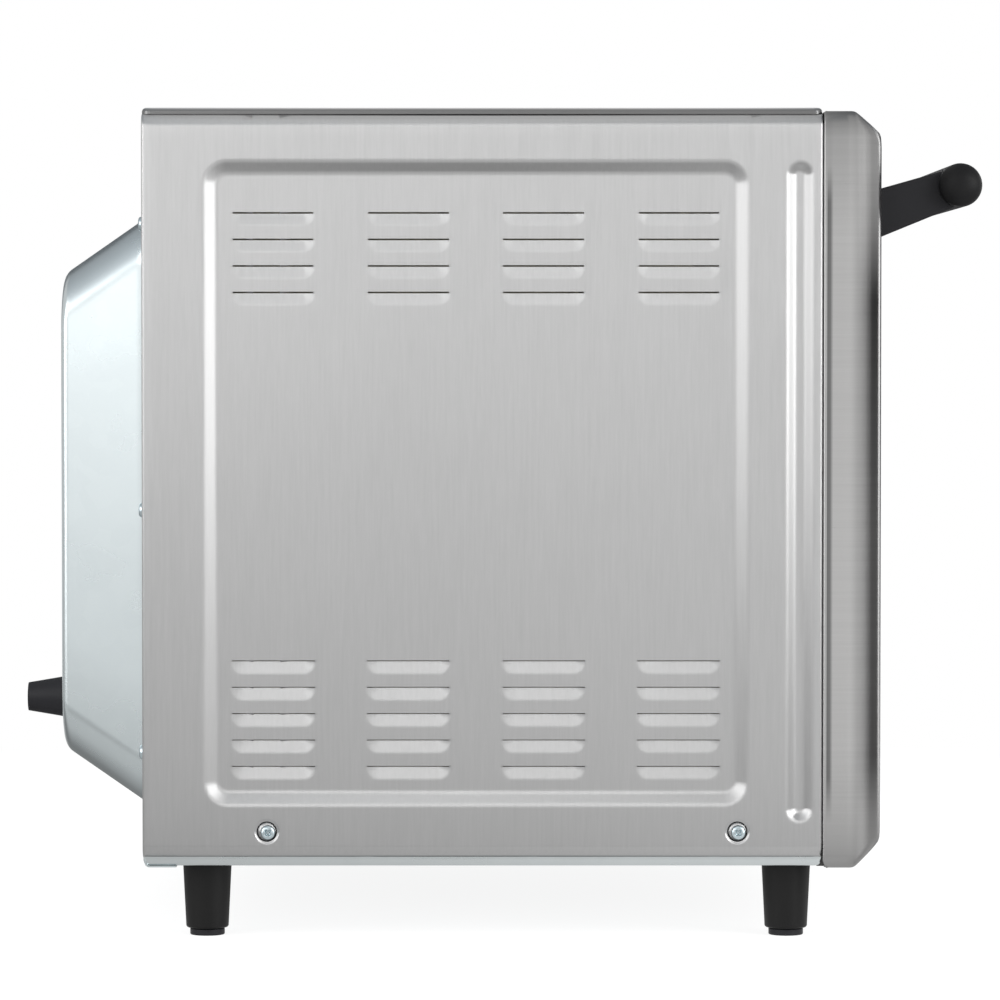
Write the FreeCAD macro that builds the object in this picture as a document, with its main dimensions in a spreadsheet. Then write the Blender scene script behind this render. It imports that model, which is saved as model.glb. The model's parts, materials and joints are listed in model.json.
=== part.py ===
import FreeCAD, Part

import math
import os

import Sketcher

# Electric countertop convection oven. Millimetres, +Z up, front towards -Y, width along X.
# The origin is at the bottom centre of the whole oven. Depths are counted forward from the
# cabinet's rear plane.

Vector = FreeCAD.Vector
Rotation = FreeCAD.Rotation

DRIVING = {
    # cabinet
    "body_width": 478.0,
    "body_depth": 326.4,
    "body_height": 364.0,
    "leg_height": 35.5,
    "sheet": 0.8,
    "panel_flange": 12.0,
    "base_rim": 3.6,
    "top_rim": 3.1,
    "rim_inset": 4.5,
    "panel_bend": 6.2,
    "front_bend": 4.6,
    "rear_bend": 1.6,
    "rim_corner": 4.0,
    "rim_round": 2.0,
    # pressings of the side panels
    "press_depth": 3.0,
    "field_rear": 29.8,
    "field_front": 35.6,
    "field_low": 25.9,
    "field_high": 22.4,
    "field_band": 6.0,
    "field_corner": 11.5,
    "field_floor_corner": 6.7,
    "bead_front": 10.9,
    "bead_width": 12.4,
    "bead_flat": 4.3,
    "bead_low": 18.0,
    "bead_high": 23.0,
    "louvre_length": 39.8,
    "louvre_height": 6.2,
    "louvre_sink": 2.6,
    "louvre_margin": 13.3,
    "louvre_step": 12.7,
    "louvre_high": 24.5,
    "louvre_low": 18.6,
    "dimple_radius": 5.8,
    "dimple_floor": 5.3,
    "dimple_sink": 1.2,
    "side_screw_rear": 59.8,
    "side_screw_front": 40.6,
    "side_screw_lift": 13.1,
    # screws
    "screw_radius": 2.0,
    "screw_hole": 2.1,
    "washer_radius": 5.0,
    "washer_thick": 0.8,
    "head_radius": 3.6,
    "head_height": 2.2,
    "low_head": 1.5,
    "screw_length": 7.0,
    "recess_width": 0.9,
    "recess_length": 4.0,
    "recess_depth": 1.2,
    # chassis rails and base
    "rail_height": 24.0,
    "rail_foot": 12.0,
    "rail_wall": 1.0,
    "rail_rear": 14.0,
    "rail_front": 28.0,
    "notch_width": 7.0,
    "notch_height": 1.6,
    "pan_front": 1.6,
    "slot_width": 4.0,
    "slot_length": 44.0,
    "slot_pitch": 16.0,
    # back panel and motor cover
    "back_lip": 16.0,
    "lip_bend": 2.4,
    "back_margin": 3.0,
    "motor_opening": 52.0,
    "cover_side": 48.0,
    "cover_depth": 43.2,
    "cover_bottom": 18.3,
    "cover_top": 44.2,
    "cover_slope_low": 29.8,
    "cover_slope_high": 30.9,
    "cover_corner": 9.0,
    "cover_edge": 5.0,
    "cover_rim": 11.0,
    "vent_width": 3.2,
    "vent_length": 26.0,
    "vent_step": 9.0,
    "vent_pitch": 36.0,
    "rear_screw_inset": 6.0,
    # cord gland
    "gland_side": 42.0,
    "gland_lift": 23.8,
    "gland_base": 10.3,
    "gland_tip": 7.0,
    "gland_length": 19.5,
    "gland_bore": 4.0,
    "gland_neck": 8.5,
    "gland_nut": 12.5,
    "gland_nut_thick": 5.0,
    # feet
    "foot_inset": 25.0,
    "foot_rear": 29.8,
    "foot_front": 15.9,
    "foot_top": 11.95,
    "foot_bottom": 10.25,
    "foot_round": 1.2,
    "pad_radius": 8.4,
    "pad_height": 3.2,
    "pad_round": 0.6,
    "stud_radius": 4.0,
    "stud_length": 22.0,
    "stud_play": 0.08,
    # cavity
    "cavity_left": 23.0,
    "cavity_right": 13.0,
    "cavity_bottom": 48.5,
    "cavity_top": 53.5,
    "cavity_rear": 23.0,
    "cavity_corner": 9.0,
    "liner_flange": 9.0,
    "blanket": 11.0,
    "blanket_stop": 6.0,
    "frame_thick": 1.2,
    "frame_margin": 5.0,
    "frame_low": 46.0,
    "frame_drop": 7.5,
    "gasket_width": 7.0,
    "seal_play": 0.3,
    "baffle_depth": 58.0,
    "baffle_thick": 1.0,
    "baffle_side": 10.0,
    "baffle_end": 7.0,
    "baffle_leg": 4.0,
    "baffle_hole": 3.0,
    "baffle_ring": 13.0,
    "baffle_slot": 5.0,
    "baffle_slot_inset": 15.0,
    "baffle_leg_inset": 8.0,
    "heater_ring": 92.0,
    "heater_tube": 3.5,
    "heater_leg": 3.0,
    "heater_knee": 4.0,
    "heater_depth": 41.0,
    "heater_legs": 30.0,
    "leg_clear": 3.5,
    "heater_plate": 2.0,
    "heater_plate_width": 60.0,
    "heater_plate_height": 16.0,
    # racks and their guides
    "guide_post": 2.5,
    "guide_rod": 2.0,
    "guide_pin": 3.0,
    "guide_rear": 67.0,
    "guide_front": 26.0,
    "guide_end": 12.0,
    "guide_overhang": 10.0,
    "pin_inset": 6.0,
    "post_stand": 4.5,
    "rod_stand": 8.5,
    "rack_first": 44.0,
    "rack_rod": 2.5,
    "rack_wire": 1.5,
    "rack_side": 10.0,
    "rack_rear": 45.0,
    "rack_front": 10.0,
    "play": 0.3,
    # fan and motor
    "shaft_radius": 4.0,
    "shaft_front": 56.0,
    "shaft_rear": 39.0,
    "shaft_play": 0.05,
    "fan_radius": 74.0,
    "fan_hub": 12.0,
    "fan_disc_depth": 30.0,
    "fan_disc": 1.2,
    "hub_length": 16.0,
    "blade_length": 26.0,
    "blade_inset": 1.0,
    "blade_width": 20.0,
    "blade_thick": 1.0,
    "blade_pitch": 30.0,
    "nut_radius": 6.5,
    "nut_thick": 5.0,
    "core_width": 76.0,
    "core_thick": 18.0,
    "core_back": 6.5,
    "core_over": 34.0,
    "core_leg": 14.0,
    "core_window": 18.0,
    "rotor_radius": 16.6,
    "air_gap": 0.4,
    "coil_width": 34.0,
    "coil_wrap": 7.0,
    "coil_over": 5.0,
    "coil_round": 2.5,
    "mount_width": 120.0,
    "mount_thick": 2.0,
    "bearing_radius": 9.0,
    "bearing_length": 7.0,
    "post_radius": 3.0,
    "collar_radius": 5.4,
    "post_spread": 28.0,
    "cooler_radius": 36.0,
    "cooler_hub": 9.0,
    "cooler_width": 7.0,
    "cooler_back": 32.0,
    # door, beside a control panel on the right
    "panel_width": 94.0,
    "door_gap": 3.0,
    "door_thick": 26.0,
    "door_drop": 1.2,
    "door_short": 1.6,
    "chamfer_depth": 13.4,
    "chamfer_high": 11.0,
    "chamfer_low": 12.6,
    "skin_corner": 8.0,
    "skin_side": 15.0,
    "tray_corner": 6.0,
    "window_margin": 52.0,
    "window_low": 57.7,
    "window_high": 75.9,
    "window_corner": 9.0,
    "glass_thick": 4.0,
    "glass_lap": 10.0,
    "inner_margin": 1.2,
    "inner_rim": 9.0,
    "door_screw_inset": 2.8,
    "door_screw_length": 2.4,
    "handle_standoff": 39.3,
    "handle_drop": 36.3,
    "bar_radius": 10.6,
    "bar_inset": 22.0,
    "cap_length": 7.0,
    "cap_round": 5.0,
    "arm_inset": 40.0,
    "arm_width": 16.0,
    "arm_root_low": 25.5,
    "arm_root_high": 1.8,
    "arm_round": 1.5,
    "handle_screw": 2.5,
    "handle_screw_length": 11.0,
    # hinges
    "pivot_back": 5.0,
    "pivot_lift": 4.0,
    "pin_radius": 2.0,
    "pin_play": 0.05,
    "hinge_inset": 17.0,
    "bracket_thick": 3.0,
    "bracket_boss": 4.2,
    "bracket_rear": 30.0,
    "bracket_front": 8.0,
    "bracket_height": 20.0,
    "bracket_foot": 12.0,
    "lug_width": 14.0,
    "lug_slot": 3.8,
    "lug_height": 15.0,
    "lug_depth": 12.0,
    "lug_clear": 4.6,
    # controls
    "panel_gap": 2.0,
    "lamp_spread": 28.0,
    "spindle_radius": 3.0,
    "spindle_length": 42.0,
    "spindle_hole": 4.5,
    "timer_radius": 26.0,
    "timer_length": 34.0,
    "thermostat_width": 40.0,
    "thermostat_length": 30.0,
    "knob_radius": 21.0,
    "knob_skirt": 24.0,
    "knob_height": 19.0,
    "knob_skirt_height": 5.0,
    "knob_clear": 0.8,
    "knob_bore": 12.0,
    "knob_flute": 1.8,
    "knob_soft": 1.0,
    "knob_draft": 1.6,
    "knob_edge": 1.4,
    "pointer_width": 2.0,
    "pointer_start": 6.5,
    "lamp_radius": 5.0,
    "lamp_rim": 6.5,
    "lamp_dome": 3.0,
    "lamp_round": 2.4,
    "lamp_length": 18.0,
    "bulb_radius": 3.0,
    "bulb_length": 90.0,
    "bulb_rear": 75.0,
    "bulb_drop": 12.0,
    "bulb_stand": 7.0,
    "limit_rear": 91.0,
    "limit_lift": 65.0,
    "limit_radius": 8.5,
    "limit_height": 10.0,
    "block_length": 44.0,
    "block_width": 20.0,
    "block_height": 17.0,
    "terminal_width": 9.6,
    "terminal_step": 6.8,
}

# Counts, and shares of the length that something is spaced along
FAN_BLADES = 16
COOLER_BLADES = 6
KNOB_FLUTES = 16
LOUVRE_COLUMNS = 4
LOUVRES_HIGH = 4
LOUVRES_LOW = 5
NOTCH_SHARES = (0.1, 0.32, 0.56, 0.83, 0.95)
BASE_SLOTS = 7
SLOT_SHARES = (0.36, 0.62)
VENT_COLUMNS = 3
VENT_ROWS = 9
BAFFLE_RINGS = 5
BAFFLE_SLOTS = 8
HOLES_PER_RING = 6
SLOT_FILL = 0.6
RACK_WIRES = 13
RACK_LEVELS = ("lower", "middle", "upper")
RACK_PITCH = 0.282
CROSS_SHARES = (0.33, 0.67)
CLIP_SHARES = (0.2, 0.75)
TERMINALS = 3
HEAD_TAPER = 0.72
REAR_SCREW_SHARES = (0.15, 0.47, 0.847)
COVER_SCREW_SHARES = (0.092, 0.5, 0.908)
LIP_SCREW_SHARES = (-0.94, 0, 0.94)
DOOR_SCREW_SHARES = (0.25, 0.5, 0.75)
LAMP_SHARE = 0.824
TIMER_SHARE = 0.626
THERMOSTAT_SHARE = 0.324

# Where the two corners of a handle arm's tip meet the bar, in degrees up from straight ahead
ARM_UPPER_ANGLE = 138
ARM_LOWER_ANGLE = -102

# How near two lengths count as equal, and how straight a direction counts as along an axis
NEAR = 1e-4
STRAIGHT = 0.999


class Size:
    """A length that keeps its value together with the sheet formula that gives it."""

    def __init__(self, value, formula):
        self.value = value
        self.formula = formula

    def __add__(self, other):
        return Size(self.value + number(other), f"({self.formula} + {formula(other)})")

    def __radd__(self, other):
        return Size(number(other) + self.value, f"({formula(other)} + {self.formula})")

    def __sub__(self, other):
        return Size(self.value - number(other), f"({self.formula} - {formula(other)})")

    def __rsub__(self, other):
        return Size(number(other) - self.value, f"({formula(other)} - {self.formula})")

    def __mul__(self, other):
        return Size(self.value * number(other), f"({self.formula} * {formula(other)})")

    __rmul__ = __mul__

    def __truediv__(self, other):
        return Size(self.value / number(other), f"({self.formula} / {formula(other)})")

    def __neg__(self):
        return Size(-self.value, f"(-1 * {self.formula})")


def number(value):
    return value.value if isinstance(value, Size) else float(value)


def formula(value):
    return value.formula if isinstance(value, Size) else f"({float(value)})"


class SizeSheet:
    """The driving sizes, written into a spreadsheet and read back by name."""

    def __init__(self, document, sizes):
        table = document.addObject("Spreadsheet::Sheet", "Sizes")
        for row, (name, value) in enumerate(sizes.items(), start=1):
            table.set(f"A{row}", name)
            table.set(f"B{row}", str(value))
            table.setAlias(f"B{row}", name)
        document.recompute()
        for name in sizes:
            setattr(self, name, Size(float(table.get(name)), f"Sizes.{name}"))


doc = FreeCAD.newDocument("countertop_oven")
S = SizeSheet(doc, DRIVING)
pieces = []

TURNS = {
    "x": Rotation(Vector(0, 1, 0), 90),
    "y": Rotation(Vector(1, 0, 0), -90),
    "z": Rotation(),
}

# Planes that many pieces share
half = S.body_width / 2
base_z = S.leg_height
deck_z = base_z + S.base_rim
top_z = base_z + S.body_height
side_top = top_z - S.top_rim
door_rear = S.body_depth + S.door_gap
door_front = door_rear + S.door_thick
door_low = base_z - S.door_drop
door_high = top_z - S.door_short
door_left = -half
panel_left = half - S.panel_width
door_right = panel_left - S.panel_gap
door_width = door_right - door_left
field_low = deck_z + S.field_low
field_high = side_top - S.field_high
side_screw_z = deck_z + S.side_screw_lift
cover_low = deck_z + S.cover_bottom
cover_high = side_top - S.cover_top
cover_half = half - S.cover_side
cavity_left = S.cavity_left - half
cavity_right = door_right - S.cavity_right
cavity_low = base_z + S.cavity_bottom
cavity_high = top_z - S.cavity_top
cavity_width = cavity_right - cavity_left
cavity_height = cavity_high - cavity_low
fan_x = (cavity_left + cavity_right) / 2
fan_z = (cavity_low + cavity_high) / 2
frame_front = S.body_depth + S.frame_thick
core_front = -S.core_back
core_rear = core_front - S.core_thick
bar_depth = door_front + S.handle_standoff
bar_z = top_z - S.handle_drop
pivot_depth = door_rear + S.pivot_back
pivot_z = door_low + S.pivot_lift
panel_x = (panel_left + half) / 2
panel_tall = door_high - door_low
lamp_z = door_low + panel_tall * LAMP_SHARE
timer_z = door_low + panel_tall * TIMER_SHARE
thermostat_z = door_low + panel_tall * THERMOSTAT_SHARE
front_reach = bar_depth + S.bar_radius
rear_reach = S.cover_depth + S.gland_length
back_y = (front_reach - rear_reach) / 2


def place_y(depth):
    """The y place of a depth counted forward from the rear plane."""
    return back_y - depth


def depths(rear, front):
    """The low and high y of a span of depths."""
    return (place_y(front), place_y(rear))


def bind(thing, name, value):
    """Tie one property of an object to the sheet, or set it if it is a plain number."""
    if isinstance(value, Size):
        thing.setExpression(name, value.formula)
    else:
        setattr(thing, name, value)


def put(thing, x, y, z, rotation=Rotation()):
    thing.Placement = FreeCAD.Placement(Vector(number(x), number(y), number(z)), rotation)
    for axis, value in zip("xyz", (x, y, z)):
        if isinstance(value, Size):
            thing.setExpression(f"Placement.Base.{axis}", value.formula)
    return thing


def piece(thing, name):
    """Name a finished piece."""
    thing.Label = name
    pieces.append(thing)
    return thing


def block(x, y, z):
    """A box between its low and high x, y and z."""
    box = doc.addObject("Part::Box", "block")
    bind(box, "Length", x[1] - x[0])
    bind(box, "Width", y[1] - y[0])
    bind(box, "Height", z[1] - z[0])
    return put(box, x[0], y[0], z[0])


def rod(axis, start, length, radius):
    """A cylinder along x, y or z from its low end."""
    cylinder = doc.addObject("Part::Cylinder", "rod")
    bind(cylinder, "Radius", radius)
    bind(cylinder, "Height", length)
    return put(cylinder, *start, TURNS[axis])


def taper(axis, start, length, low_radius, high_radius):
    """A cone frustum along x, y or z from its low end."""
    cone = doc.addObject("Part::Cone", "taper")
    bind(cone, "Radius1", low_radius)
    bind(cone, "Radius2", high_radius)
    bind(cone, "Height", length)
    return put(cone, *start, TURNS[axis])


def fuse(*things):
    joined = doc.addObject("Part::MultiFuse", "joined")
    joined.Shapes = list(things)
    joined.Refine = True
    return joined


def group(*things):
    """Separate solids kept side by side in one piece."""
    together = doc.addObject("Part::Compound", "together")
    together.Links = list(things)
    return together


def cut(base, *tools):
    result = doc.addObject("Part::Cut", "cut")
    result.Base = base
    result.Tool = tools[0] if len(tools) == 1 else group(*tools)
    result.Refine = True
    return result


def mirrored(thing, middle=0):
    """The same piece on the other side of a plane across x."""
    mirror = doc.addObject("Part::Mirroring", "mirrored")
    mirror.Source = thing
    mirror.Normal = Vector(1, 0, 0)
    mirror.Base = Vector(number(middle), 0, 0)
    if isinstance(middle, Size):
        mirror.setExpression("Base.x", middle.formula)
    return mirror


def shaped(shape):
    """A piece whose shape is worked out from the sizes directly."""
    thing = doc.addObject("Part::Feature", "shaped")
    thing.Shape = shape
    return thing


def edges_where(shape, test):
    return [index for index, edge in enumerate(shape.Edges, start=1) if test(edge)]


def faces_where(shape, test):
    return [index for index, face in enumerate(shape.Faces, start=1) if test(face)]


def near(value, target):
    return abs(value - number(target)) < NEAR


def runs_along(edge, axis):
    """Whether an edge is a straight run along one axis."""
    direction = edge.tangentAt(edge.FirstParameter)
    straight = isinstance(edge.Curve, Part.Line)
    return straight and abs(getattr(direction, axis)) > STRAIGHT


def round_edges(base, radius, test):
    """Round the edges of a finished object that pass a test."""
    doc.recompute()
    result = doc.addObject("Part::Fillet", "rounded")
    result.Base = base
    value = number(radius)
    result.Edges = [(index, value, value) for index in edges_where(base.Shape, test)]
    return result


def rounded_block(x, y, z, radius, axis):
    """A box whose four edges along one axis are rounded."""
    return round_edges(block(x, y, z), radius, lambda edge: runs_along(edge, axis))


def hollowed(base, wall, test):
    """Turn a solid into a sheet shell, open at the face that passes a test."""
    doc.recompute()
    shell = doc.addObject("Part::Thickness", "shell")
    shell.Faces = (base, [f"Face{index}" for index in faces_where(base.Shape, test)])
    bind(shell, "Value", -wall)
    return shell


def polygon(sketch, points):
    """Closed straight-sided outline with every corner tied to the sheet."""
    first = sketch.GeometryCount
    count = len(points)
    corners = [Vector(number(u), number(v), 0) for u, v in points]
    for index in range(count):
        sketch.addGeometry(Part.LineSegment(corners[index], corners[(index + 1) % count]))
    for index in range(count):
        following = first + (index + 1) % count
        sketch.addConstraint(Sketcher.Constraint("Coincident", first + index, 2, following, 1))
    for index, (u, v) in enumerate(points):
        for kind, value in (("DistanceX", u), ("DistanceY", v)):
            tie = sketch.addConstraint(
                Sketcher.Constraint(kind, -1, 1, first + index, 1, number(value))
            )
            sketch.setExpression(f"Constraints[{tie}]", formula(value))


def new_body(name, plane, offset, points):
    """A body with one sketched outline on an origin plane, moved along the plane's normal."""
    body = doc.addObject("PartDesign::Body", f"body_{name}")
    sketch = body.newObject("Sketcher::SketchObject", "outline")
    origin = [f for f in body.Origin.OriginFeatures if f.Role == plane]
    sketch.AttachmentSupport = [(origin[0], "")]
    sketch.MapMode = "FlatFace"
    sketch.AttachmentOffset = FreeCAD.Placement(Vector(0, 0, number(offset)), Rotation())
    if isinstance(offset, Size):
        sketch.setExpression("AttachmentOffset.Base.z", offset.formula)
    polygon(sketch, points)
    return body, sketch


def padded(name, plane, offset, length, points):
    """An outline pushed straight out along the plane's normal."""
    body, sketch = new_body(name, plane, offset, points)
    pad = body.newObject("PartDesign::Pad", "pad")
    pad.Profile = sketch
    bind(pad, "Length", length)
    doc.recompute()
    return body, pad


def revolved(name, points):
    """An outline of radius and height turned about the body's own z axis."""
    body, sketch = new_body(name, "XZ_Plane", 0, points)
    turn = body.newObject("PartDesign::Revolution", "turn")
    turn.Profile = sketch
    turn.ReferenceAxis = (sketch, ["V_Axis"])
    turn.Angle = 360
    doc.recompute()
    return body, turn


def rounded_feature(body, base, radius, test):
    """A fillet inside a body on the edges that pass a test."""
    fillet = body.newObject("PartDesign::Fillet", "fillet")
    fillet.Base = (base, [f"Edge{index}" for index in edges_where(base.Shape, test)])
    bind(fillet, "Radius", radius)
    doc.recompute()
    return fillet


def wall_feature(body, base, wall, test):
    """Hollow a body to sheet thickness, open at the face that passes a test."""
    shell = body.newObject("PartDesign::Thickness", "wall")
    shell.Base = (base, [f"Face{index}" for index in faces_where(base.Shape, test)])
    bind(shell, "Value", wall)
    shell.Reversed = True
    doc.recompute()
    return shell


# Pressed side panels

def rounded_wire(x, y_low, y_high, z_low, z_high, radius):
    """A rectangle with round corners in a plane across x."""
    corners = (
        (y_high - radius, z_high - radius, 0),
        (y_low + radius, z_high - radius, 90),
        (y_low + radius, z_low + radius, 180),
        (y_high - radius, z_low + radius, 270),
    )
    arcs = []
    for y, z, start in corners:
        along = [math.radians(start + turn) for turn in (0, 45, 90)]
        points = [Vector(x, y + radius * math.cos(a), z + radius * math.sin(a)) for a in along]
        arcs.append(Part.Arc(*points))
    edges = []
    for index, arc in enumerate(arcs):
        edges.append(arc.toShape())
        following = arcs[(index + 1) % len(arcs)]
        if arc.EndPoint.distanceToPoint(following.StartPoint) > NEAR:
            edges.append(Part.makeLine(arc.EndPoint, following.StartPoint))
    return Part.Wire(edges)


def sunk_field(x):
    """The slanted frustum of the big sunk field, starting at plane x."""
    rear = number(place_y(S.field_rear))
    front = number(place_y(S.body_depth - S.field_front))
    low = number(field_low)
    high = number(field_high)
    band = number(S.field_band)
    corner = number(S.field_corner)
    deep = x + number(S.press_depth)
    outer = rounded_wire(x, front, rear, low, high, corner)
    inner = rounded_wire(
        deep, front + band, rear - band, low + band, high - band, number(S.field_floor_corner)
    )
    return Part.makeLoft([outer, inner], True, True)


def sunk_bead(x):
    """The narrow vertical bead in front of the field, starting at plane x."""
    middle = number(place_y(S.body_depth - S.bead_front))
    wide = number(S.bead_width) / 2
    flat = number(S.bead_flat) / 2
    low = number(deck_z + S.bead_low)
    high = number(side_top - S.bead_high)
    inset = wide - flat
    outer = rounded_wire(x, middle - wide, middle + wide, low, high, wide)
    inner = rounded_wire(
        x + number(S.press_depth),
        middle - flat,
        middle + flat,
        low + inset,
        high - inset,
        flat,
    )
    return Part.makeLoft([outer, inner], True, True)


def louvre_scoop():
    """One louvre pressing about the middle of its slit: a wedge with round tapered ends."""
    tall = number(S.louvre_height)
    sink = number(S.louvre_sink)
    straight = number(S.louvre_length) / 2 - tall
    wedge = Part.makePolygon([
        Vector(0, -straight, 0),
        Vector(sink, -straight, 0),
        Vector(0, -straight, -tall),
        Vector(0, -straight, 0),
    ])
    middle = Part.Face(wedge).extrude(Vector(0, 2 * straight, 0))
    ends = []
    for side in (-straight, straight):
        ends.append(Part.makeCone(tall, 0, sink, Vector(0, side, 0), Vector(1, 0, 0)))
    whole = middle.fuse(ends)
    reach = number(S.louvre_length)
    below = Part.makeBox(sink, reach, tall, Vector(0, -reach / 2, -tall))
    return whole.common(below).removeSplitter()


def louvre_places():
    """The y and z of each slit's middle."""
    margin = S.louvre_margin + S.louvre_length / 2
    first = number(place_y(S.field_rear + margin))
    last = number(place_y(S.body_depth - S.field_front - margin))
    step = number(S.louvre_step)
    for column in range(LOUVRE_COLUMNS):
        y = first + (last - first) * column / (LOUVRE_COLUMNS - 1)
        for row in range(LOUVRES_HIGH):
            yield y, number(field_high - S.louvre_high) - row * step
        for row in range(LOUVRES_LOW):
            yield y, number(field_low + S.louvre_low) + row * step


def louvres(x):
    """All louvre pressings with their mouths at plane x."""
    scoop = louvre_scoop()
    return [scoop.translated(Vector(x, y, z)) for y, z in louvre_places()]


def side_screw_places():
    """The y of each side screw."""
    return [place_y(S.side_screw_rear), place_y(S.body_depth - S.side_screw_front)]


def dimple(x, y):
    """The shallow seat under one side screw, starting at plane x."""
    start = Vector(x, number(y), number(side_screw_z))
    radii = (number(S.dimple_radius), number(S.dimple_floor))
    return Part.makeCone(*radii, number(S.dimple_sink), start, Vector(1, 0, 0))


def pressings(x):
    """Every pressing of one side panel, starting at plane x."""
    field = sunk_field(x)
    bead = sunk_bead(x)
    dimples = [dimple(x, y) for y in side_screw_places()]
    return [field, bead, *dimples, *louvres(x + number(S.press_depth))]


def side_blank():
    """The bent panel before pressing: a face with bends and flanges on all four sides."""
    box = block((-half, S.panel_flange - half), depths(0, S.body_depth), (deck_z, side_top))
    doc.recompute()
    rear = back_y
    front = place_y(S.body_depth)
    radii = []
    for index in edges_where(box.Shape, lambda edge: near(edge.CenterOfMass.x, -half)):
        middle = box.Shape.Edges[index - 1].CenterOfMass
        radius = S.panel_bend
        if near(middle.y, rear):
            radius = S.rear_bend
        if near(middle.y, front):
            radius = S.front_bend
        radii.append((index, number(radius), number(radius)))
    bends = doc.addObject("Part::Fillet", "bends")
    bends.Base = box
    bends.Edges = radii
    return hollowed(bends, S.sheet, lambda face: near(face.CenterOfMass.x, S.panel_flange - half))


def side_panels():
    blank = side_blank()
    doc.recompute()
    outside = -number(half)
    inner = shaped(blank.Shape.multiFuse(pressings(outside + number(S.sheet))))
    hollow = shaped(Part.makeCompound(pressings(outside)))
    holes = [rod("x", (-half, y, side_screw_z), S.panel_flange, S.screw_hole)
             for y in side_screw_places()]
    rear_holes = [rod("y", (S.rear_screw_inset - half, place_y(S.panel_flange), z),
                      S.panel_flange, S.screw_hole) for z in rear_screw_heights()]
    left = cut(cut(inner, hollow), *holes, *rear_holes)
    piece(left, "side_panel_left")
    piece(mirrored(left), "side_panel_right")


# Base, top and back

def base_pan():
    x = (S.rim_inset - half, half - S.rim_inset)
    rear = S.base_rim
    front = S.body_depth - S.pan_front
    outer = rounded_block(x, depths(rear, front), (base_z, deck_z), S.rim_corner, "z")
    inside = (x[0] + S.sheet, x[1] - S.sheet)
    hollow = rounded_block(
        inside,
        depths(rear + S.sheet, front - S.sheet),
        (base_z, deck_z - S.sheet),
        S.rim_corner - S.sheet,
        "z",
    )
    tray = cut(outer, hollow)
    lip = block(
        (x[0] + S.rim_corner, x[1] - S.rim_corner),
        depths(rear, S.back_lip),
        (base_z, base_z + S.sheet),
    )
    notches = []
    for share in NOTCH_SHARES:
        at = S.body_depth * share
        span = depths(at, at + S.notch_width)
        notches.append(block((-half, half), span, (base_z, base_z + S.notch_height)))
    slots = []
    for share in SLOT_SHARES:
        start = S.body_depth * share
        for index in range(BASE_SLOTS):
            left = fan_x + S.slot_pitch * (index - (BASE_SLOTS - 1) / 2)
            slots.append(block((left, left + S.slot_width), depths(start, start + S.slot_length),
                               (base_z + S.sheet, deck_z)))
    screws = [rod("z", (x, place_y(lip_screw_depth()), base_z), S.base_rim, S.screw_hole)
              for x in lip_screw_places()]
    piece(cut(fuse(tray, lip), *notches, *slots, *screws), "base_pan")


def soft_lid(x, y, high, corner, edge):
    """A block under the lid's top with round corners and a soft upper edge."""
    plain = rounded_block(x, y, (side_top, high), corner, "z")
    return round_edges(plain, edge, lambda one: near(one.BoundBox.ZMin, high))


def top_panel():
    wall = S.sheet
    x = (S.rim_inset - half, half - S.rim_inset)
    y = depths(0, S.body_depth)
    outer = soft_lid(x, y, top_z, S.rim_corner, S.rim_round)
    inner = soft_lid((x[0] + wall, x[1] - wall), (y[0] + wall, y[1] - wall), top_z - wall,
                     S.rim_corner - wall, S.rim_round - wall)
    piece(cut(outer, inner), "top_panel")


def rear_screw_heights():
    return [base_z + S.body_height * share for share in REAR_SCREW_SHARES]


def cover_screw_heights():
    return [cover_low + (cover_high - cover_low) * share for share in COVER_SCREW_SHARES]


def rear_screw_places():
    """The x and z of each screw on the rear, on the panel flanges and on the cover's rim."""
    flange_x = half - S.rear_screw_inset
    cover_x = cover_half + S.cover_rim / 2
    places = []
    for side in (-1, 1):
        places += [(flange_x * side, z) for z in rear_screw_heights()]
        places += [(cover_x * side, z) for z in cover_screw_heights()]
    return places


def lip_screw_depth():
    return S.back_lip - S.washer_radius


def lip_screw_places():
    return [(half - S.foot_inset) * share for share in LIP_SCREW_SHARES]


def screw_holes_rear():
    return [rod("y", (x, place_y(S.panel_flange), z), S.panel_flange, S.screw_hole)
            for x, z in rear_screw_places()]


def back_panel():
    """Plate behind the side panels' rear flanges, with a lip bent forward under the base."""
    wall = S.sheet
    x = (S.back_margin - half, half - S.back_margin)
    low = base_z - wall
    plate = block(x, depths(wall, wall * 2), (low, side_top - wall))
    lip = block(x, depths(wall, S.back_lip), (low, base_z))
    joined = round_edges(
        fuse(plate, lip), S.lip_bend,
        lambda edge: runs_along(edge, "x") and near(edge.CenterOfMass.z, low)
        and near(edge.CenterOfMass.y, place_y(wall)),
    )
    bent = round_edges(
        joined, S.lip_bend - wall,
        lambda edge: runs_along(edge, "x") and near(edge.CenterOfMass.z, base_z)
        and near(edge.CenterOfMass.y, place_y(wall * 2)),
    )
    corners = []
    for side in (-half, half - S.panel_flange):
        for z in (deck_z, side_top - S.panel_bend):
            corners.append(block((side, side + S.panel_flange), depths(0, wall * 2),
                                 (z, z + S.panel_bend)))
    opening = rod("y", (fan_x, place_y(wall * 3), fan_z), wall * 4, S.motor_opening)
    vents = []
    for row in range(VENT_ROWS):
        z = top_z - S.vent_pitch - S.vent_step * row
        vents.append(block((panel_x - S.vent_length, panel_x), depths(0, wall * 2),
                           (z - S.vent_width, z)))
    lip_screws = [rod("z", (x, place_y(lip_screw_depth()), low), S.base_rim, S.screw_hole)
                  for x in lip_screw_places()]
    piece(cut(bent, opening, *corners, *vents, *lip_screws, *screw_holes_rear()), "back_panel")


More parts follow.
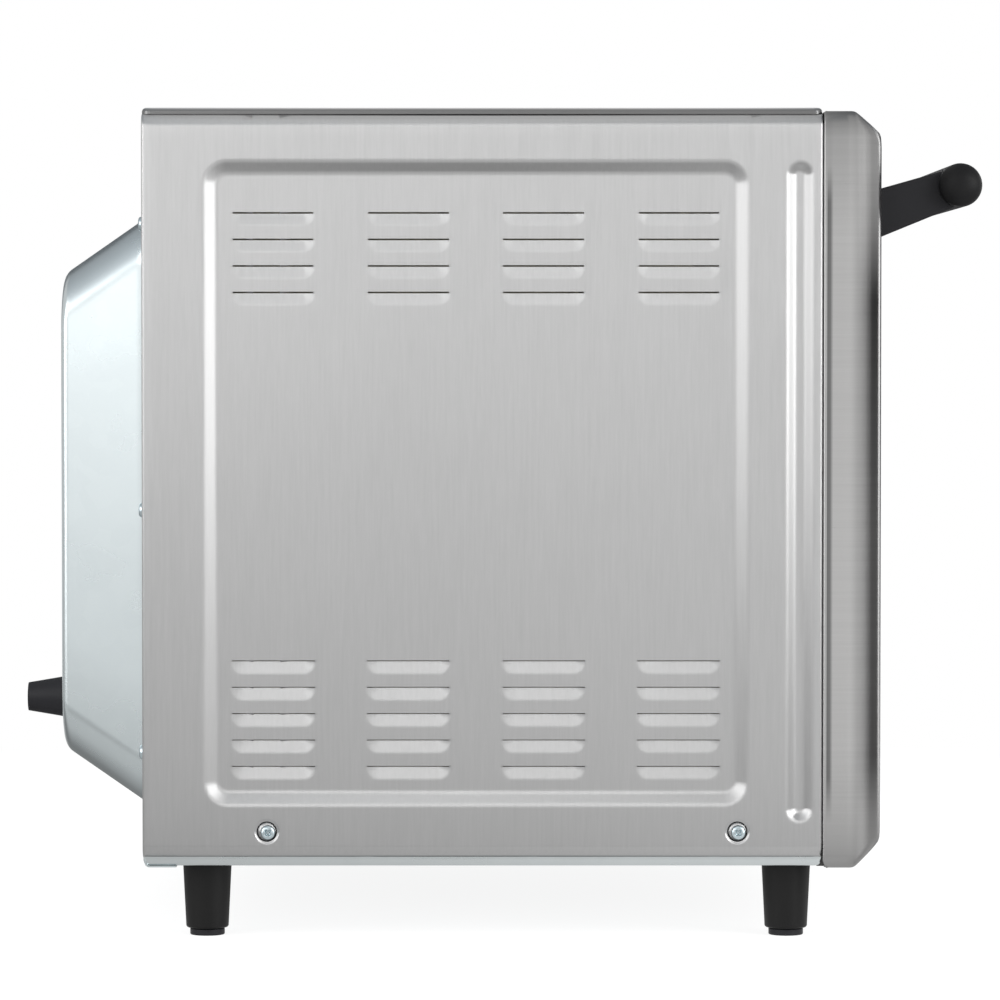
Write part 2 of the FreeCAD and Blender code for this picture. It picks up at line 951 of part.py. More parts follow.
def motor_cover():
    half_cover = cover_half
    rear = back_y + S.cover_depth
    rim = back_y - S.sheet
    body, pad = padded("cover", "YZ_Plane", -half_cover, half_cover * 2, [
        (rim, cover_low),
        (rear, cover_low + S.cover_slope_low),
        (rear, cover_high - S.cover_slope_high),
        (rim, cover_high),
    ])
    corners = rounded_feature(
        body, pad, S.cover_corner,
        lambda edge: runs_along(edge, "x") and near(edge.CenterOfMass.y, rear),
    )
    ends = rounded_feature(
        body, corners, S.cover_edge,
        lambda edge: near(abs(edge.CenterOfMass.x), half_cover)
        and not near(edge.BoundBox.YMax, rim),
    )
    wall_feature(body, ends, S.sheet, lambda face: near(face.CenterOfMass.y, rim))
    reach = S.cover_rim
    flange = block(
        (-half_cover - reach, half_cover + reach),
        (rim, back_y),
        (cover_low - reach, cover_high + reach),
    )
    mouth = block(
        (S.sheet - half_cover, half_cover - S.sheet),
        (rim - S.cover_rim, back_y),
        (cover_low + S.sheet * 2, cover_high - S.sheet * 2),
    )
    spill = block(
        (-half, half),
        (rim - S.cover_rim, rim),
        (cover_low - reach, cover_high + reach),
    )
    vents = []
    for column in range(VENT_COLUMNS):
        middle = fan_x + S.vent_pitch * (column - (VENT_COLUMNS - 1) / 2)
        for row in range(VENT_ROWS):
            z = fan_z + S.vent_step * (row - (VENT_ROWS - 1) / 2)
            vents.append(block(
                (middle - S.vent_length / 2, middle + S.vent_length / 2),
                (rear - S.cover_corner, rear),
                (z - S.vent_width / 2, z + S.vent_width / 2),
            ))
    gland_x, gland_z = gland_place()
    gland_hole = rod("y", (gland_x, rear - S.cover_corner, gland_z), S.cover_corner,
                     S.gland_neck)
    plain = cut(fuse(body, flange), fuse(mouth, spill))
    piece(cut(plain, gland_hole, *vents, *screw_holes_rear()), "motor_cover")


def base_rails():
    """Two angles that stand on the panel flanges and take the side screws."""
    outside = S.sheet + S.dimple_sink - half
    low = deck_z + S.sheet
    wall = S.rail_wall
    bend = S.panel_bend
    length = S.body_depth - S.rail_front - S.rail_rear
    body, pad = padded("rail", "XZ_Plane", -place_y(S.rail_rear), length, [
        (outside, low + S.rail_height),
        (outside, low + bend),
        (outside + bend - wall, low),
        (outside + S.rail_foot, low),
        (outside + S.rail_foot, low + wall),
        (outside + bend, low + wall),
        (outside + wall, low + bend),
        (outside + wall, low + S.rail_height),
    ])
    holes = [rod("x", (outside, at, side_screw_z), wall, S.screw_hole)
             for at in side_screw_places()]
    left = cut(body, *holes)
    piece(group(left, mirrored(left)), "base_rails")


# Screws

def screw(axis, start, length, head=None, washer=0):
    """One cross-head screw whose shank starts at a point and runs along +x, +y or +z.

    The washer and head lie on the low side of that point.
    """
    tall = head or S.head_height
    shift = {"x": (1, 0, 0), "y": (0, 1, 0), "z": (0, 0, 1)}[axis]

    def at(distance):
        return tuple(place + step * distance for place, step in zip(start, shift))

    parts = [rod(axis, at(0), length, S.screw_radius)]
    if washer:
        parts.append(rod(axis, at(-washer), washer, S.washer_radius))
    face = at(-washer - tall)
    parts.append(taper(axis, face, tall, S.head_radius * HEAD_TAPER, S.head_radius))
    arms = []
    for turn in (0, 1):
        spans = []
        flat = 0
        for place, step in zip(face, shift):
            if step:
                spans.append((place, place + S.recess_depth))
                continue
            reach = S.recess_length if flat == turn else S.recess_width
            spans.append((place - reach / 2, place + reach / 2))
            flat += 1
        arms.append(block(*spans))
    return cut(fuse(*parts), fuse(*arms))


def side_screws():
    seat = S.dimple_sink - half
    left = [screw("x", (seat, y, side_screw_z), S.screw_length, washer=S.washer_thick)
            for y in side_screw_places()]
    right = [mirrored(one) for one in left]
    piece(group(*left, *right), "side_screws")


def rear_screws():
    """Screws of the back panel and motor cover, and those under the rear lip."""
    screws = []
    for x, z in rear_screw_places():
        turned = group(screw("y", (0, 0, 0), S.screw_length))
        put(turned, x, back_y, z, Rotation(Vector(0, 0, 1), 180))
        screws.append(turned)
    low = base_z - S.sheet
    for x in lip_screw_places():
        start = (x, place_y(lip_screw_depth()), low)
        screws.append(screw("z", start, S.base_rim, head=S.low_head))
    piece(group(*screws), "rear_screws")


# Feet and gland

def foot_places():
    """The name, x and depth of each foot."""
    side = half - S.foot_inset
    return [
        ("front_left", -side, S.body_depth - S.foot_front),
        ("front_right", side, S.body_depth - S.foot_front),
        ("rear_left", -side, S.foot_rear),
        ("rear_right", side, S.foot_rear),
    ]


def feet():
    top = deck_z - S.sheet
    bottom = S.pad_height + S.play
    bore = S.stud_radius + S.stud_play
    for name, x, depth in foot_places():
        y = place_y(depth)
        cone = taper("z", (x, y, bottom), top - bottom, S.foot_bottom, S.foot_top)
        soft = round_edges(cone, S.foot_round, lambda edge: near(edge.BoundBox.ZMax, bottom))
        hole = rod("z", (x, y, bottom), S.stud_length + S.play, bore)
        piece(cut(soft, hole), f"foot_{name}")


def levelling_inserts():
    for name, x, depth in foot_places():
        y = place_y(depth)
        flat = rod("z", (x, y, 0), S.pad_height, S.pad_radius)
        pad = round_edges(flat, S.pad_round, lambda edge: not isinstance(edge.Curve, Part.Line))
        stud = rod("z", (x, y, S.pad_height - S.pad_round), S.stud_length, S.stud_radius)
        piece(fuse(pad, stud), f"levelling_insert_{name}")


def gland_place():
    """The x and z of the gland, on the flat of the motor cover."""
    return (S.gland_side - cover_half, cover_low + S.cover_slope_low + S.gland_lift)


def cord_gland():
    """Tapered cable grip through the cover, with its nut inside; the cable's bore runs through."""
    wall = S.sheet
    body, turn = revolved("gland", [
        (S.gland_bore, S.gland_length),
        (S.gland_bore, -wall - S.gland_nut_thick),
        (S.gland_nut, -wall - S.gland_nut_thick),
        (S.gland_nut, -wall),
        (S.gland_neck, -wall),
        (S.gland_neck, 0),
        (S.gland_base, 0),
        (S.gland_tip, S.gland_length),
    ])
    gland_x, gland_z = gland_place()
    put(body, gland_x, back_y + S.cover_depth, gland_z, TURNS["y"])
    piece(body, "cord_gland")


# Cavity

def opening_block(margin, rear, front):
    """A block of the cavity's outline, grown by a margin, between two depths."""
    return rounded_block(
        (cavity_left - margin, cavity_right + margin),
        depths(rear, front),
        (cavity_low - margin, cavity_high + margin),
        S.cavity_corner + margin,
        "y",
    )


def cavity_liner():
    """Box open in front; its floor is a sheet with a front lip, seamed in between the corners."""
    wall = S.sheet
    outer = opening_block(wall, S.cavity_rear - wall, S.body_depth)
    flange = opening_block(S.liner_flange, S.body_depth - wall, S.body_depth)
    hollow = opening_block(0, S.cavity_rear, S.body_depth)
    shaft = rod("y", (fan_x, place_y(S.cavity_rear), fan_z), wall, S.bearing_radius + wall)
    legs = [rod("y", (x, place_y(S.cavity_rear), z), wall, S.heater_leg + S.play)
            for x, z in heater_leg_places()]
    across = (cavity_left + S.cavity_corner, cavity_right - S.cavity_corner)
    bed = block(across, depths(S.cavity_rear, S.body_depth), (cavity_low - wall, cavity_low))
    lip = block(across, depths(S.body_depth - wall, S.body_depth),
                (cavity_low - S.liner_flange, cavity_low))
    floor = fuse(bed, lip)
    shell = cut(fuse(outer, flange), hollow, shaft, floor, *legs)
    piece(group(shell, floor), "cavity_liner")


def insulation():
    wall = S.sheet
    thick = wall + S.blanket
    outer = block(
        (cavity_left - thick, cavity_right + thick),
        depths(S.cavity_rear - thick, S.body_depth - S.blanket_stop),
        (cavity_low - thick, cavity_high + thick),
    )
    inner = opening_block(wall, S.cavity_rear - wall, S.body_depth)
    motor = rod("y", (fan_x, place_y(S.cavity_rear), fan_z), thick, S.motor_opening)
    legs = [rod("y", (x, place_y(S.cavity_rear), z), thick, S.heater_leg + S.leg_clear)
            for x, z in heater_leg_places()]
    limit = rod("x", limit_place(), thick, S.limit_radius + wall)
    piece(cut(outer, inner, fuse(motor, limit, *legs)), "insulation")


def front_frame():
    y = depths(S.body_depth, frame_front)
    plate = block((S.frame_margin - half, door_right), y, (S.frame_low, top_z - S.frame_drop))
    opening = opening_block(0, S.body_depth, frame_front)
    piece(cut(plate, opening), "front_frame")


def door_gasket():
    front = door_rear - S.seal_play
    ring = opening_block(S.gasket_width, frame_front, front)
    hole = opening_block(0, frame_front, front)
    piece(cut(ring, hole), "door_gasket")


def baffle_holes(y, thick):
    """Rings of round holes in front of the fan and upright slots at both ends."""
    tools = [Part.makeCylinder(number(S.baffle_hole), thick,
                               Vector(number(fan_x), y, number(fan_z)), Vector(0, 1, 0))]
    for ring in range(1, BAFFLE_RINGS + 1):
        radius = number(S.baffle_ring) * ring
        for index in range(HOLES_PER_RING * ring):
            angle = 2 * math.pi * index / (HOLES_PER_RING * ring)
            centre = Vector(
                number(fan_x) + radius * math.cos(angle), y,
                number(fan_z) + radius * math.sin(angle),
            )
            tools.append(Part.makeCylinder(number(S.baffle_hole), thick, centre,
                                           Vector(0, 1, 0)))
    wide = number(S.baffle_slot)
    span = number(cavity_height - S.baffle_end * 2) / BAFFLE_SLOTS
    for side in (-1, 1):
        reach = number(cavity_width / 2 - S.baffle_side - S.baffle_slot_inset)
        x = number(fan_x) + side * reach - wide / 2
        for index in range(BAFFLE_SLOTS):
            z = number(cavity_low + S.baffle_end) + span * (index + (1 - SLOT_FILL) / 2)
            tools.append(Part.makeBox(wide, thick, span * SLOT_FILL, Vector(x, y, z)))
    return Part.makeCompound(tools)


def fan_baffle():
    front = S.baffle_depth + S.baffle_thick
    plate = rounded_block(
        (cavity_left + S.baffle_side, cavity_right - S.baffle_side),
        depths(S.baffle_depth, front),
        (cavity_low + S.baffle_end, cavity_high - S.baffle_end),
        S.cavity_corner,
        "y",
    )
    spread_x = cavity_width / 2 - S.baffle_side - S.baffle_leg_inset
    spread_z = cavity_height / 2 - S.baffle_end - S.baffle_leg_inset
    legs = []
    for across in (-1, 1):
        for up in (-1, 1):
            start = (fan_x + spread_x * across, place_y(S.baffle_depth), fan_z + spread_z * up)
            legs.append(rod("y", start, S.baffle_depth - S.cavity_rear, S.baffle_leg))
    thick = number(S.baffle_thick)
    holes = shaped(baffle_holes(number(place_y(front)), thick))
    piece(cut(fuse(plate, *legs), holes), "fan_baffle")


def heater_leg_places():
    """The x and z of the heater's two legs, below the fan on the ring's own circle."""
    spread = S.heater_legs / 2
    drop = math.sqrt(number(S.heater_ring) ** 2 - number(spread) ** 2)
    return [(fan_x - spread, fan_z - drop), (fan_x + spread, fan_z - drop)]


def ring_heater():
    """Tubular ring whose two ends turn back and leave through the cavity's rear wall."""
    gap = math.degrees(math.asin(number(S.heater_legs / 2) / number(S.heater_ring)))
    ring = doc.addObject("Part::Torus", "ring")
    bind(ring, "Radius1", S.heater_ring)
    bind(ring, "Radius2", S.heater_tube)
    ring.Angle3 = 360 - 2 * gap
    upright = TURNS["y"].multiply(Rotation(Vector(0, 0, 1), 90 + gap))
    put(ring, fan_x, place_y(S.heater_depth), fan_z, upright)
    length = S.heater_depth - S.cavity_rear + S.blanket + S.sheet + S.heater_tube
    ends = []
    for x, z in heater_leg_places():
        ends.append(rod("y", (x, place_y(S.heater_depth), z), length, S.heater_leg))
        knee = doc.addObject("Part::Sphere", "knee")
        bind(knee, "Radius", S.heater_knee)
        ends.append(put(knee, x, place_y(S.heater_depth), z, Rotation(Vector(0, 0, 1), -90)))
    drop = heater_leg_places()[0][1]
    plate = rounded_block(
        (fan_x - S.heater_plate_width / 2, fan_x + S.heater_plate_width / 2),
        depths(S.cavity_rear, S.cavity_rear + S.heater_plate),
        (drop - S.heater_plate_height / 2, drop + S.heater_plate_height / 2),
        S.heater_tube,
        "y",
    )
    piece(fuse(ring, *ends, plate), "ring_heater")


def rack_heights():
    first = cavity_low + S.rack_first
    return [first + cavity_height * (RACK_PITCH * index) for index in range(len(RACK_LEVELS))]


def rack_guides():
    wall = cavity_left
    post_x = wall + S.post_stand
    rod_x = wall + S.rod_stand
    parts = []
    rear = S.cavity_rear + S.guide_rear
    front = S.body_depth - S.guide_front
    low = cavity_low + S.guide_end
    high = cavity_high - S.guide_end
    for depth in (rear, front):
        y = place_y(depth)
        parts.append(rod("z", (post_x, y, low), high - low, S.guide_post))
        for z in (low + S.pin_inset, high - S.pin_inset):
            parts.append(rod("x", (wall, y, z), S.post_stand, S.guide_pin))
    start = place_y(front + S.guide_overhang)
    length = front - rear + S.guide_overhang * 2
    for level in rack_heights():
        lift = S.rack_rod * 2 + S.play * 2 + S.guide_rod * 2
        for z in (level, level + lift):
            parts.append(rod("y", (rod_x, start, z), length, S.guide_rod))
    left = fuse(*parts)
    piece(left, "rack_guide_left")
    piece(mirrored(left, fan_x), "rack_guide_right")


def wire_rack(name, level):
    """Frame of four rods with front-to-back wires and a middle cross wire."""
    z = level + S.guide_rod + S.play + S.rack_rod
    left = cavity_left + S.rack_side
    right = cavity_right - S.rack_side
    rear = place_y(S.cavity_rear + S.rack_rear)
    front = place_y(S.body_depth - S.rack_front)
    length = rear - front
    width = right - left
    parts = []
    for x in (left, right):
        parts.append(rod("y", (x, front, z), length, S.rack_rod))
    for y in (front, rear):
        parts.append(rod("x", (left, y, z), width, S.rack_rod))
        for x in (left, right):
            ball = doc.addObject("Part::Sphere", "corner")
            bind(ball, "Radius", S.rack_rod)
            parts.append(put(ball, x, y, z))
    lift = z + S.rack_rod - S.rack_wire
    for index in range(1, RACK_WIRES + 1):
        x = left + width * (index / (RACK_WIRES + 1))
        parts.append(rod("y", (x, front, lift), length, S.rack_wire))
    under = z - S.rack_rod / 2
    for share in CROSS_SHARES:
        parts.append(rod("x", (left, front + length * share, under), width, S.rack_wire))
    piece(fuse(*parts), f"wire_rack_{name}")


def wire_racks():
    for name, level in zip(RACK_LEVELS, rack_heights()):
        wire_rack(name, level)


# Fan and motor

def radial_blades(count, depth, inner, length, width, thick, pitch):
    """Flat blades set round the fan's axis, each pitched about its own length."""
    blades = []
    for index in range(count):
        turn = Rotation(Vector(0, 1, 0), 360.0 * index / count)
        tilt = Rotation(Vector(1, 0, 0), number(pitch))
        blade = doc.addObject("Part::Box", "blade")
        bind(blade, "Length", length)
        bind(blade, "Width", width)
        bind(blade, "Height", thick)
        offset = Vector(number(inner), 0, -number(thick) / 2)
        swing = turn.multiply(tilt)
        start = Vector(number(fan_x), number(place_y(depth)), number(fan_z))
        blade.Placement = FreeCAD.Placement(start + swing.multVec(offset), swing)
        blades.append(blade)
    return blades


def convection_fan():
    disc_rear = S.fan_disc_depth
    disc_front = disc_rear + S.fan_disc
    disc = rod("y", (fan_x, place_y(disc_front), fan_z), S.fan_disc, S.fan_radius)
    hub = rod("y", (fan_x, place_y(disc_front + S.hub_length), fan_z),
              S.fan_disc + S.hub_length, S.fan_hub)
    inner = S.fan_radius - S.blade_length
    blades = radial_blades(FAN_BLADES, disc_front + S.blade_width, inner,
                           S.blade_length - S.blade_inset,
                           S.blade_width + S.fan_disc / 2, S.blade_thick, 0)
    bore = rod("y", (fan_x, place_y(disc_front + S.blade_width), fan_z),
               S.blade_width + S.fan_disc, S.shaft_radius)
    piece(cut(fuse(disc, hub, *blades), bore), "convection_fan")


def fan_nut():
    """Cap nut that holds the fan on its shaft."""
    rear = S.fan_disc_depth + S.fan_disc + S.hub_length
    prism = doc.addObject("Part::Prism", "hexagon")
    prism.Polygon = 6
    bind(prism, "Circumradius", S.nut_radius)
    bind(prism, "Height", S.nut_thick)
    put(prism, fan_x, place_y(rear + S.nut_thick), fan_z, TURNS["y"])
    bore = rod("y", (fan_x, place_y(rear + S.nut_thick), fan_z), S.nut_thick, S.shaft_radius)
    piece(cut(prism, bore), "fan_nut")


def motor_shaft():
    start = (fan_x, place_y(S.shaft_front), fan_z)
    piece(rod("y", start, S.shaft_front + S.shaft_rear, S.shaft_radius), "motor_shaft")


def motor_rotor():
    start = (fan_x, place_y(core_front), fan_z)
    body = rod("y", start, S.core_thick, S.rotor_radius)
    bore = rod("y", start, S.core_thick, S.shaft_radius)
    piece(cut(body, bore), "motor_rotor")


def cooling_fan():
    rear = -S.cooler_back
    hub = rod("y", (fan_x, place_y(rear), fan_z), S.cooler_width, S.cooler_hub)
    inner = S.cooler_hub - S.blade_inset
    blades = radial_blades(COOLER_BLADES, rear, inner, S.cooler_radius - inner,
                           S.cooler_width, S.blade_thick, S.blade_pitch)
    ends = rod("y", (fan_x, place_y(rear), fan_z), S.cooler_width, S.cooler_radius)
    trimmed = doc.addObject("Part::MultiCommon", "trimmed")
    trimmed.Shapes = [fuse(hub, *blades), ends]
    bore = rod("y", (fan_x, place_y(rear), fan_z), S.cooler_width, S.shaft_radius)
    piece(cut(trimmed, bore), "cooling_fan")


def motor_core():
    """Laminated frame: the rotor's bore above, a window and the coil's leg below."""
    y = depths(core_rear, core_front)
    side = S.core_width / 2
    ring = S.core_width / 2
    low = fan_z - ring - S.core_window - S.core_leg
    frame = block((fan_x - side, fan_x + side), y, (low, fan_z + S.core_over))
    bore = rod("y", (fan_x, place_y(core_front), fan_z), S.core_thick,
               S.rotor_radius + S.air_gap)
    window = block(
        (fan_x - side + S.core_leg, fan_x + side - S.core_leg),
        y,
        (low + S.core_leg, low + S.core_leg + S.core_window),
    )
    posts = [rod("y", (x, place_y(core_front), z), S.core_thick, S.post_radius)
             for x, z in motor_post_places()]
    piece(cut(frame, bore, window, *posts), "motor_core")


def motor_coil():
    ring = S.core_width / 2
    low = fan_z - ring - S.core_window - S.core_leg
    wide = S.coil_width / 2
    over = S.coil_over
    outer = rounded_block(
        (fan_x - wide, fan_x + wide),
        depths(core_rear - over, core_front + over),
        (low - S.coil_wrap, low + S.core_leg + S.core_window - S.play),
        S.coil_round,
        "x",
    )
    leg = block(
        (fan_x - wide, fan_x + wide),
        depths(core_rear, core_front),
        (low, low + S.core_leg),
    )
    piece(cut(outer, leg), "motor_coil")


def motor_post_places():
    """The x and z of the four long bolts that clamp the motor's brackets."""
    spread = S.post_spread
    return [(fan_x + spread * across, fan_z + spread * up) for across in (-1, 1)
            for up in (-1, 1)]


def motor_brackets():
    """Front plate with its bearing and bolts, and the rear bearing bridge."""
    bore = S.shaft_radius + S.shaft_play
    side = S.mount_width / 2
    front_y = place_y(S.sheet * 2 + S.mount_thick)
    plate = block(
        (fan_x - side, fan_x + side),
        (front_y, front_y + S.mount_thick),
        (fan_z - side, fan_z + side),
    )
    bearing = rod("y", (fan_x, front_y - S.bearing_length / 2, fan_z),
                  S.bearing_length / 2 + S.mount_thick, S.bearing_radius)
    reach = S.sheet * 2 + S.mount_thick - core_rear
    bridge_y = front_y + reach
    posts = [rod("y", (x, front_y, z), reach, S.post_radius) for x, z in motor_post_places()]
    collars = [rod("y", (x, front_y, z), S.sheet * 2 + S.mount_thick - core_front,
                   S.collar_radius) for x, z in motor_post_places()]
    hole = rod("y", (fan_x, front_y - S.bearing_length / 2, fan_z),
               S.bearing_length / 2 + S.mount_thick, bore)
    front = cut(fuse(plate, bearing, *posts, *collars), hole)
    wide = S.post_spread + S.bearing_radius
    bridge = block(
        (fan_x - wide, fan_x + wide),
        (bridge_y, bridge_y + S.mount_thick),
        (fan_z - wide, fan_z + wide),
    )
    boss = rod("y", (fan_x, bridge_y, fan_z), S.bearing_length / 2, S.bearing_radius)
    rear_hole = rod("y", (fan_x, bridge_y, fan_z), S.bearing_length, bore)
    rear = cut(fuse(bridge, boss), rear_hole)
    piece(group(front, rear), "motor_brackets")


# Door and front panel

def front_shell(name, left, width, rear):
    """A drawn stainless front: chamfered top and bottom, round sides, open at the rear."""
    slope_top = door_high - S.chamfer_high
    slope_low = door_low + S.chamfer_low
    chamfer = door_front - S.chamfer_depth
    rear_y = place_y(rear)
    front_y = place_y(door_front)
    body, pad = padded(name, "YZ_Plane", left, width, [
        (rear_y, door_low),
        (place_y(chamfer), door_low),
        (front_y, slope_low),
        (front_y, slope_top),
        (place_y(chamfer), door_high),
        (rear_y, door_high),
    ])
    rounded_feature(
        body, pad, S.skin_corner,
        lambda edge: runs_along(edge, "x") and not near(edge.CenterOfMass.y, rear_y),
    )
    sides = round_edges(
        block((left, left + width), (front_y, rear_y), (door_low, door_high)),
        S.skin_side,
        lambda edge: runs_along(edge, "z") and near(edge.CenterOfMass.y, front_y),
    )
    drawn = doc.addObject("Part::MultiCommon", "drawn")
    drawn.Shapes = [body, sides]
    drawn.Refine = True
    return hollowed(drawn, S.sheet, lambda face: near(face.CenterOfMass.y, rear_y))


def window_block(rear, front, margin):
    return rounded_block(
        (door_left + S.window_margin - margin, door_right - S.window_margin + margin),
        depths(rear, front),
        (door_low + S.window_low - margin, door_high - S.window_high + margin),
        S.window_corner,
        "y",
    )


def hinge_places():
    """The middle x of each hinge."""
    return [door_left + S.hinge_inset, door_right - S.hinge_inset]


def lug_blocks():
    """The blocks in the door's rear bottom edge that hold the hinges."""
    wide = S.lug_width / 2
    return [block((x - wide, x + wide), depths(door_rear, door_rear + S.lug_depth),
                  (door_low, door_low + S.lug_height)) for x in hinge_places()]


def handle_screw_places():
    return [door_left + S.arm_inset, door_right - S.arm_inset]


def handle_screw_z():
    return bar_z - (S.arm_root_low + S.arm_root_high) / 2


def door_skin():
    shell = front_shell("skin", door_left, door_width, door_rear)
    window = window_block(door_front - S.glass_thick, door_front, 0)
    holes = [rod("y", (x, place_y(door_front), handle_screw_z()), S.sheet,
                 S.handle_screw) for x in handle_screw_places()]
    bottom = [rod("z", (x, place_y(door_screw_depth()), door_low), S.sheet, S.screw_hole)
              for x in door_screw_places()]
    piece(cut(shell, window, *lug_blocks(), *holes, *bottom), "door_skin")


def door_inner_panel():
    """Tray that closes the door's rear, with its rim inside the skin."""
    gap = S.sheet + S.inner_margin
    x = (door_left + gap, door_right - gap)
    z = (door_low + S.sheet, door_high - S.sheet)
    rim = door_rear + S.inner_rim
    corner = S.tray_corner - S.sheet
    outer = rounded_block(x, depths(door_rear, rim), z, corner, "y")
    hollow = rounded_block(
        (x[0] + S.sheet, x[1] - S.sheet),
        depths(door_rear + S.sheet, rim),
        (z[0] + S.sheet, z[1] - S.sheet),
        corner - S.sheet,
        "y",
    )
    window = window_block(door_rear, rim, 0)
    bottom = [rod("z", (x, place_y(door_screw_depth()), door_low), S.sheet * 2, S.screw_hole)
              for x in door_screw_places()]
    tray = cut(outer, hollow)
    piece(cut(cut(tray, window, *bottom), *lug_blocks()), "door_inner_panel")


def door_glass():
    outer_front = door_front - S.sheet
    outer = window_block(outer_front - S.glass_thick, outer_front, S.glass_lap)
    piece(outer, "door_outer_glass")
    inner_rear = door_rear + S.sheet
    inner = window_block(inner_rear, inner_rear + S.glass_thick, S.glass_lap)
    piece(inner, "door_inner_glass")


def arm_outline():
    """Side view of a handle arm, whose tip corners lie on the bar's own circle."""
    def on_bar(degrees):
        angle = math.radians(degrees)
        return (place_y(bar_depth) - S.bar_radius * math.cos(angle),
                bar_z + S.bar_radius * math.sin(angle))

    root = place_y(door_front)
    return [
        (root, bar_z - S.arm_root_low),
        on_bar(ARM_LOWER_ANGLE),
        (place_y(bar_depth), bar_z),
        on_bar(ARM_UPPER_ANGLE),
        (root, bar_z - S.arm_root_high),
    ]


def handle_arm(name, middle):
    left = middle - S.arm_width / 2
    body, pad = padded(name, "YZ_Plane", left, S.arm_width, arm_outline())
    root = place_y(door_front)
    rounded_feature(
        body, pad, S.arm_round,
        lambda edge: (near(edge.CenterOfMass.x, left)
                      or near(edge.CenterOfMass.x, left + S.arm_width))
        and near(edge.BoundBox.YMax, root) and not near(edge.BoundBox.YMin, root),
    )
    seat = rod("x", (left, place_y(bar_depth), bar_z), S.arm_width, S.bar_radius)
    deep = S.handle_screw_length + S.play
    hole = rod("y", (middle, root - deep, handle_screw_z()), deep, S.handle_screw)
    piece(cut(body, seat, hole), f"handle_arm_{name}")


def handle():
    left = door_left + S.bar_inset
    right = door_right - S.bar_inset
    at = (place_y(bar_depth), bar_z)
    start = left + S.cap_length
    bar = rod("x", (start, *at), right - left - S.cap_length * 2, S.bar_radius)
    piece(bar, "handle_bar")
    caps = []
    for low, tip in ((left, left), (right - S.cap_length, right)):
        plain = rod("x", (low, *at), S.cap_length, S.bar_radius)
        caps.append(round_edges(plain, S.cap_round,
                                lambda edge, tip=tip: near(edge.BoundBox.XMin, tip)
                                and near(edge.BoundBox.XMax, tip)))
    piece(group(*caps), "handle_end_caps")
    handle_arm("left", door_left + S.arm_inset)
    handle_arm("right", door_right - S.arm_inset)


def door_screw_depth():
    return door_rear + S.inner_rim - S.door_screw_inset


def door_screw_places():
    return [door_left + door_width * share for share in DOOR_SCREW_SHARES]


def door_screws():
    """Screws under the door's lower edge and those that hold the handle arms."""
    group_of = []
    for x in door_screw_places():
        one = taper("z", (x, place_y(door_screw_depth()), door_low - S.washer_thick),
                    S.washer_thick, S.head_radius * HEAD_TAPER, S.head_radius)
        shank = rod("z", (x, place_y(door_screw_depth()), door_low), S.door_screw_length,
                    S.screw_radius)
        group_of.append(fuse(one, shank))
    inside = place_y(door_front - S.sheet)
    for x in handle_screw_places():
        shank = rod("y", (x, inside - S.handle_screw_length, handle_screw_z()),
                    S.handle_screw_length, S.handle_screw)
        head = rod("y", (x, inside, handle_screw_z()), S.head_height, S.washer_radius)
        group_of.append(fuse(shank, head))
    piece(group(*group_of), "door_screws")


def hinge_brackets():
    """Plates on the base pan, each reaching forward to a boss that carries the hinge pin."""
    brackets = []
    foot_z = deck_z + S.sheet
    rear = S.body_depth - S.bracket_rear
    front = S.body_depth - S.bracket_front
    for side, x in zip((1, -1), hinge_places()):
        thick = (x - S.bracket_thick / 2, x + S.bracket_thick / 2)
        upright = block(thick, depths(rear, front), (deck_z, deck_z + S.bracket_height))
        neck = block(thick, depths(front, pivot_depth), (deck_z, pivot_z + S.bracket_boss))
        chin = block(thick, depths(S.body_depth - S.pan_front, pivot_depth),
                     (pivot_z - S.bracket_boss, pivot_z + S.bracket_boss))
        boss = rod("x", (thick[0], place_y(pivot_depth), pivot_z), S.bracket_thick,
                   S.bracket_boss)
        reach = (x, x + S.bracket_foot) if side > 0 else (x - S.bracket_foot, x)
        foot = block(reach, depths(rear, front), (deck_z, foot_z))
        hole = rod("x", (thick[0], place_y(pivot_depth), pivot_z), S.bracket_thick,
                   S.pin_radius + S.pin_play)
        brackets.append(cut(fuse(upright, neck, chin, boss, foot), hole))
    piece(group(*brackets), "hinge_brackets")


def hinge_lugs():
    """Forked blocks in the door's lower corners that hold the hinge pins."""
    lugs = []
    for solid, x in zip(lug_blocks(), hinge_places()):
        wide = S.lug_width / 2
        slot = S.lug_slot / 2
        clear = S.lug_clear
        gap = block((x - slot, x + slot), depths(door_rear, pivot_depth + clear),
                    (door_low, pivot_z + clear))
        hole = rod("x", (x - wide, place_y(pivot_depth), pivot_z), S.lug_width, S.pin_radius)
        lugs.append(cut(solid, fuse(gap, hole)))
    piece(group(*lugs), "hinge_lugs")


def hinge_pins():
    pins = [rod("x", (x - S.lug_width / 2, place_y(pivot_depth), pivot_z), S.lug_width,
                S.pin_radius) for x in hinge_places()]
    piece(group(*pins), "hinge_pins")


# Controls

def control_panel():
    shell = front_shell("fascia", panel_left, S.panel_width, S.body_depth)
    front = place_y(door_front)
    holes = [rod("y", (panel_x, front, z), S.sheet, S.spindle_hole)
             for z in (timer_z, thermostat_z)]
    lamps = [rod("y", (x, front, lamp_z), S.sheet, S.lamp_radius) for x in lamp_places()]
    piece(cut(shell, *holes, *lamps), "control_panel")


def lamp_places():
    return [panel_x - S.lamp_spread / 2, panel_x + S.lamp_spread / 2]


def control_body(name, z, solid, length):
    """A control fixed behind the panel, bored for its spindle."""
    rear = place_y(door_front - S.sheet)
    bore = rod("y", (panel_x, rear, z), length, S.spindle_radius + S.shaft_play)
    piece(cut(solid, bore), name)


def timer_body():
    rear = place_y(door_front - S.sheet)
    can = rod("y", (panel_x, rear, timer_z), S.timer_length, S.timer_radius)
    control_body("timer_body", timer_z, can, S.timer_length)


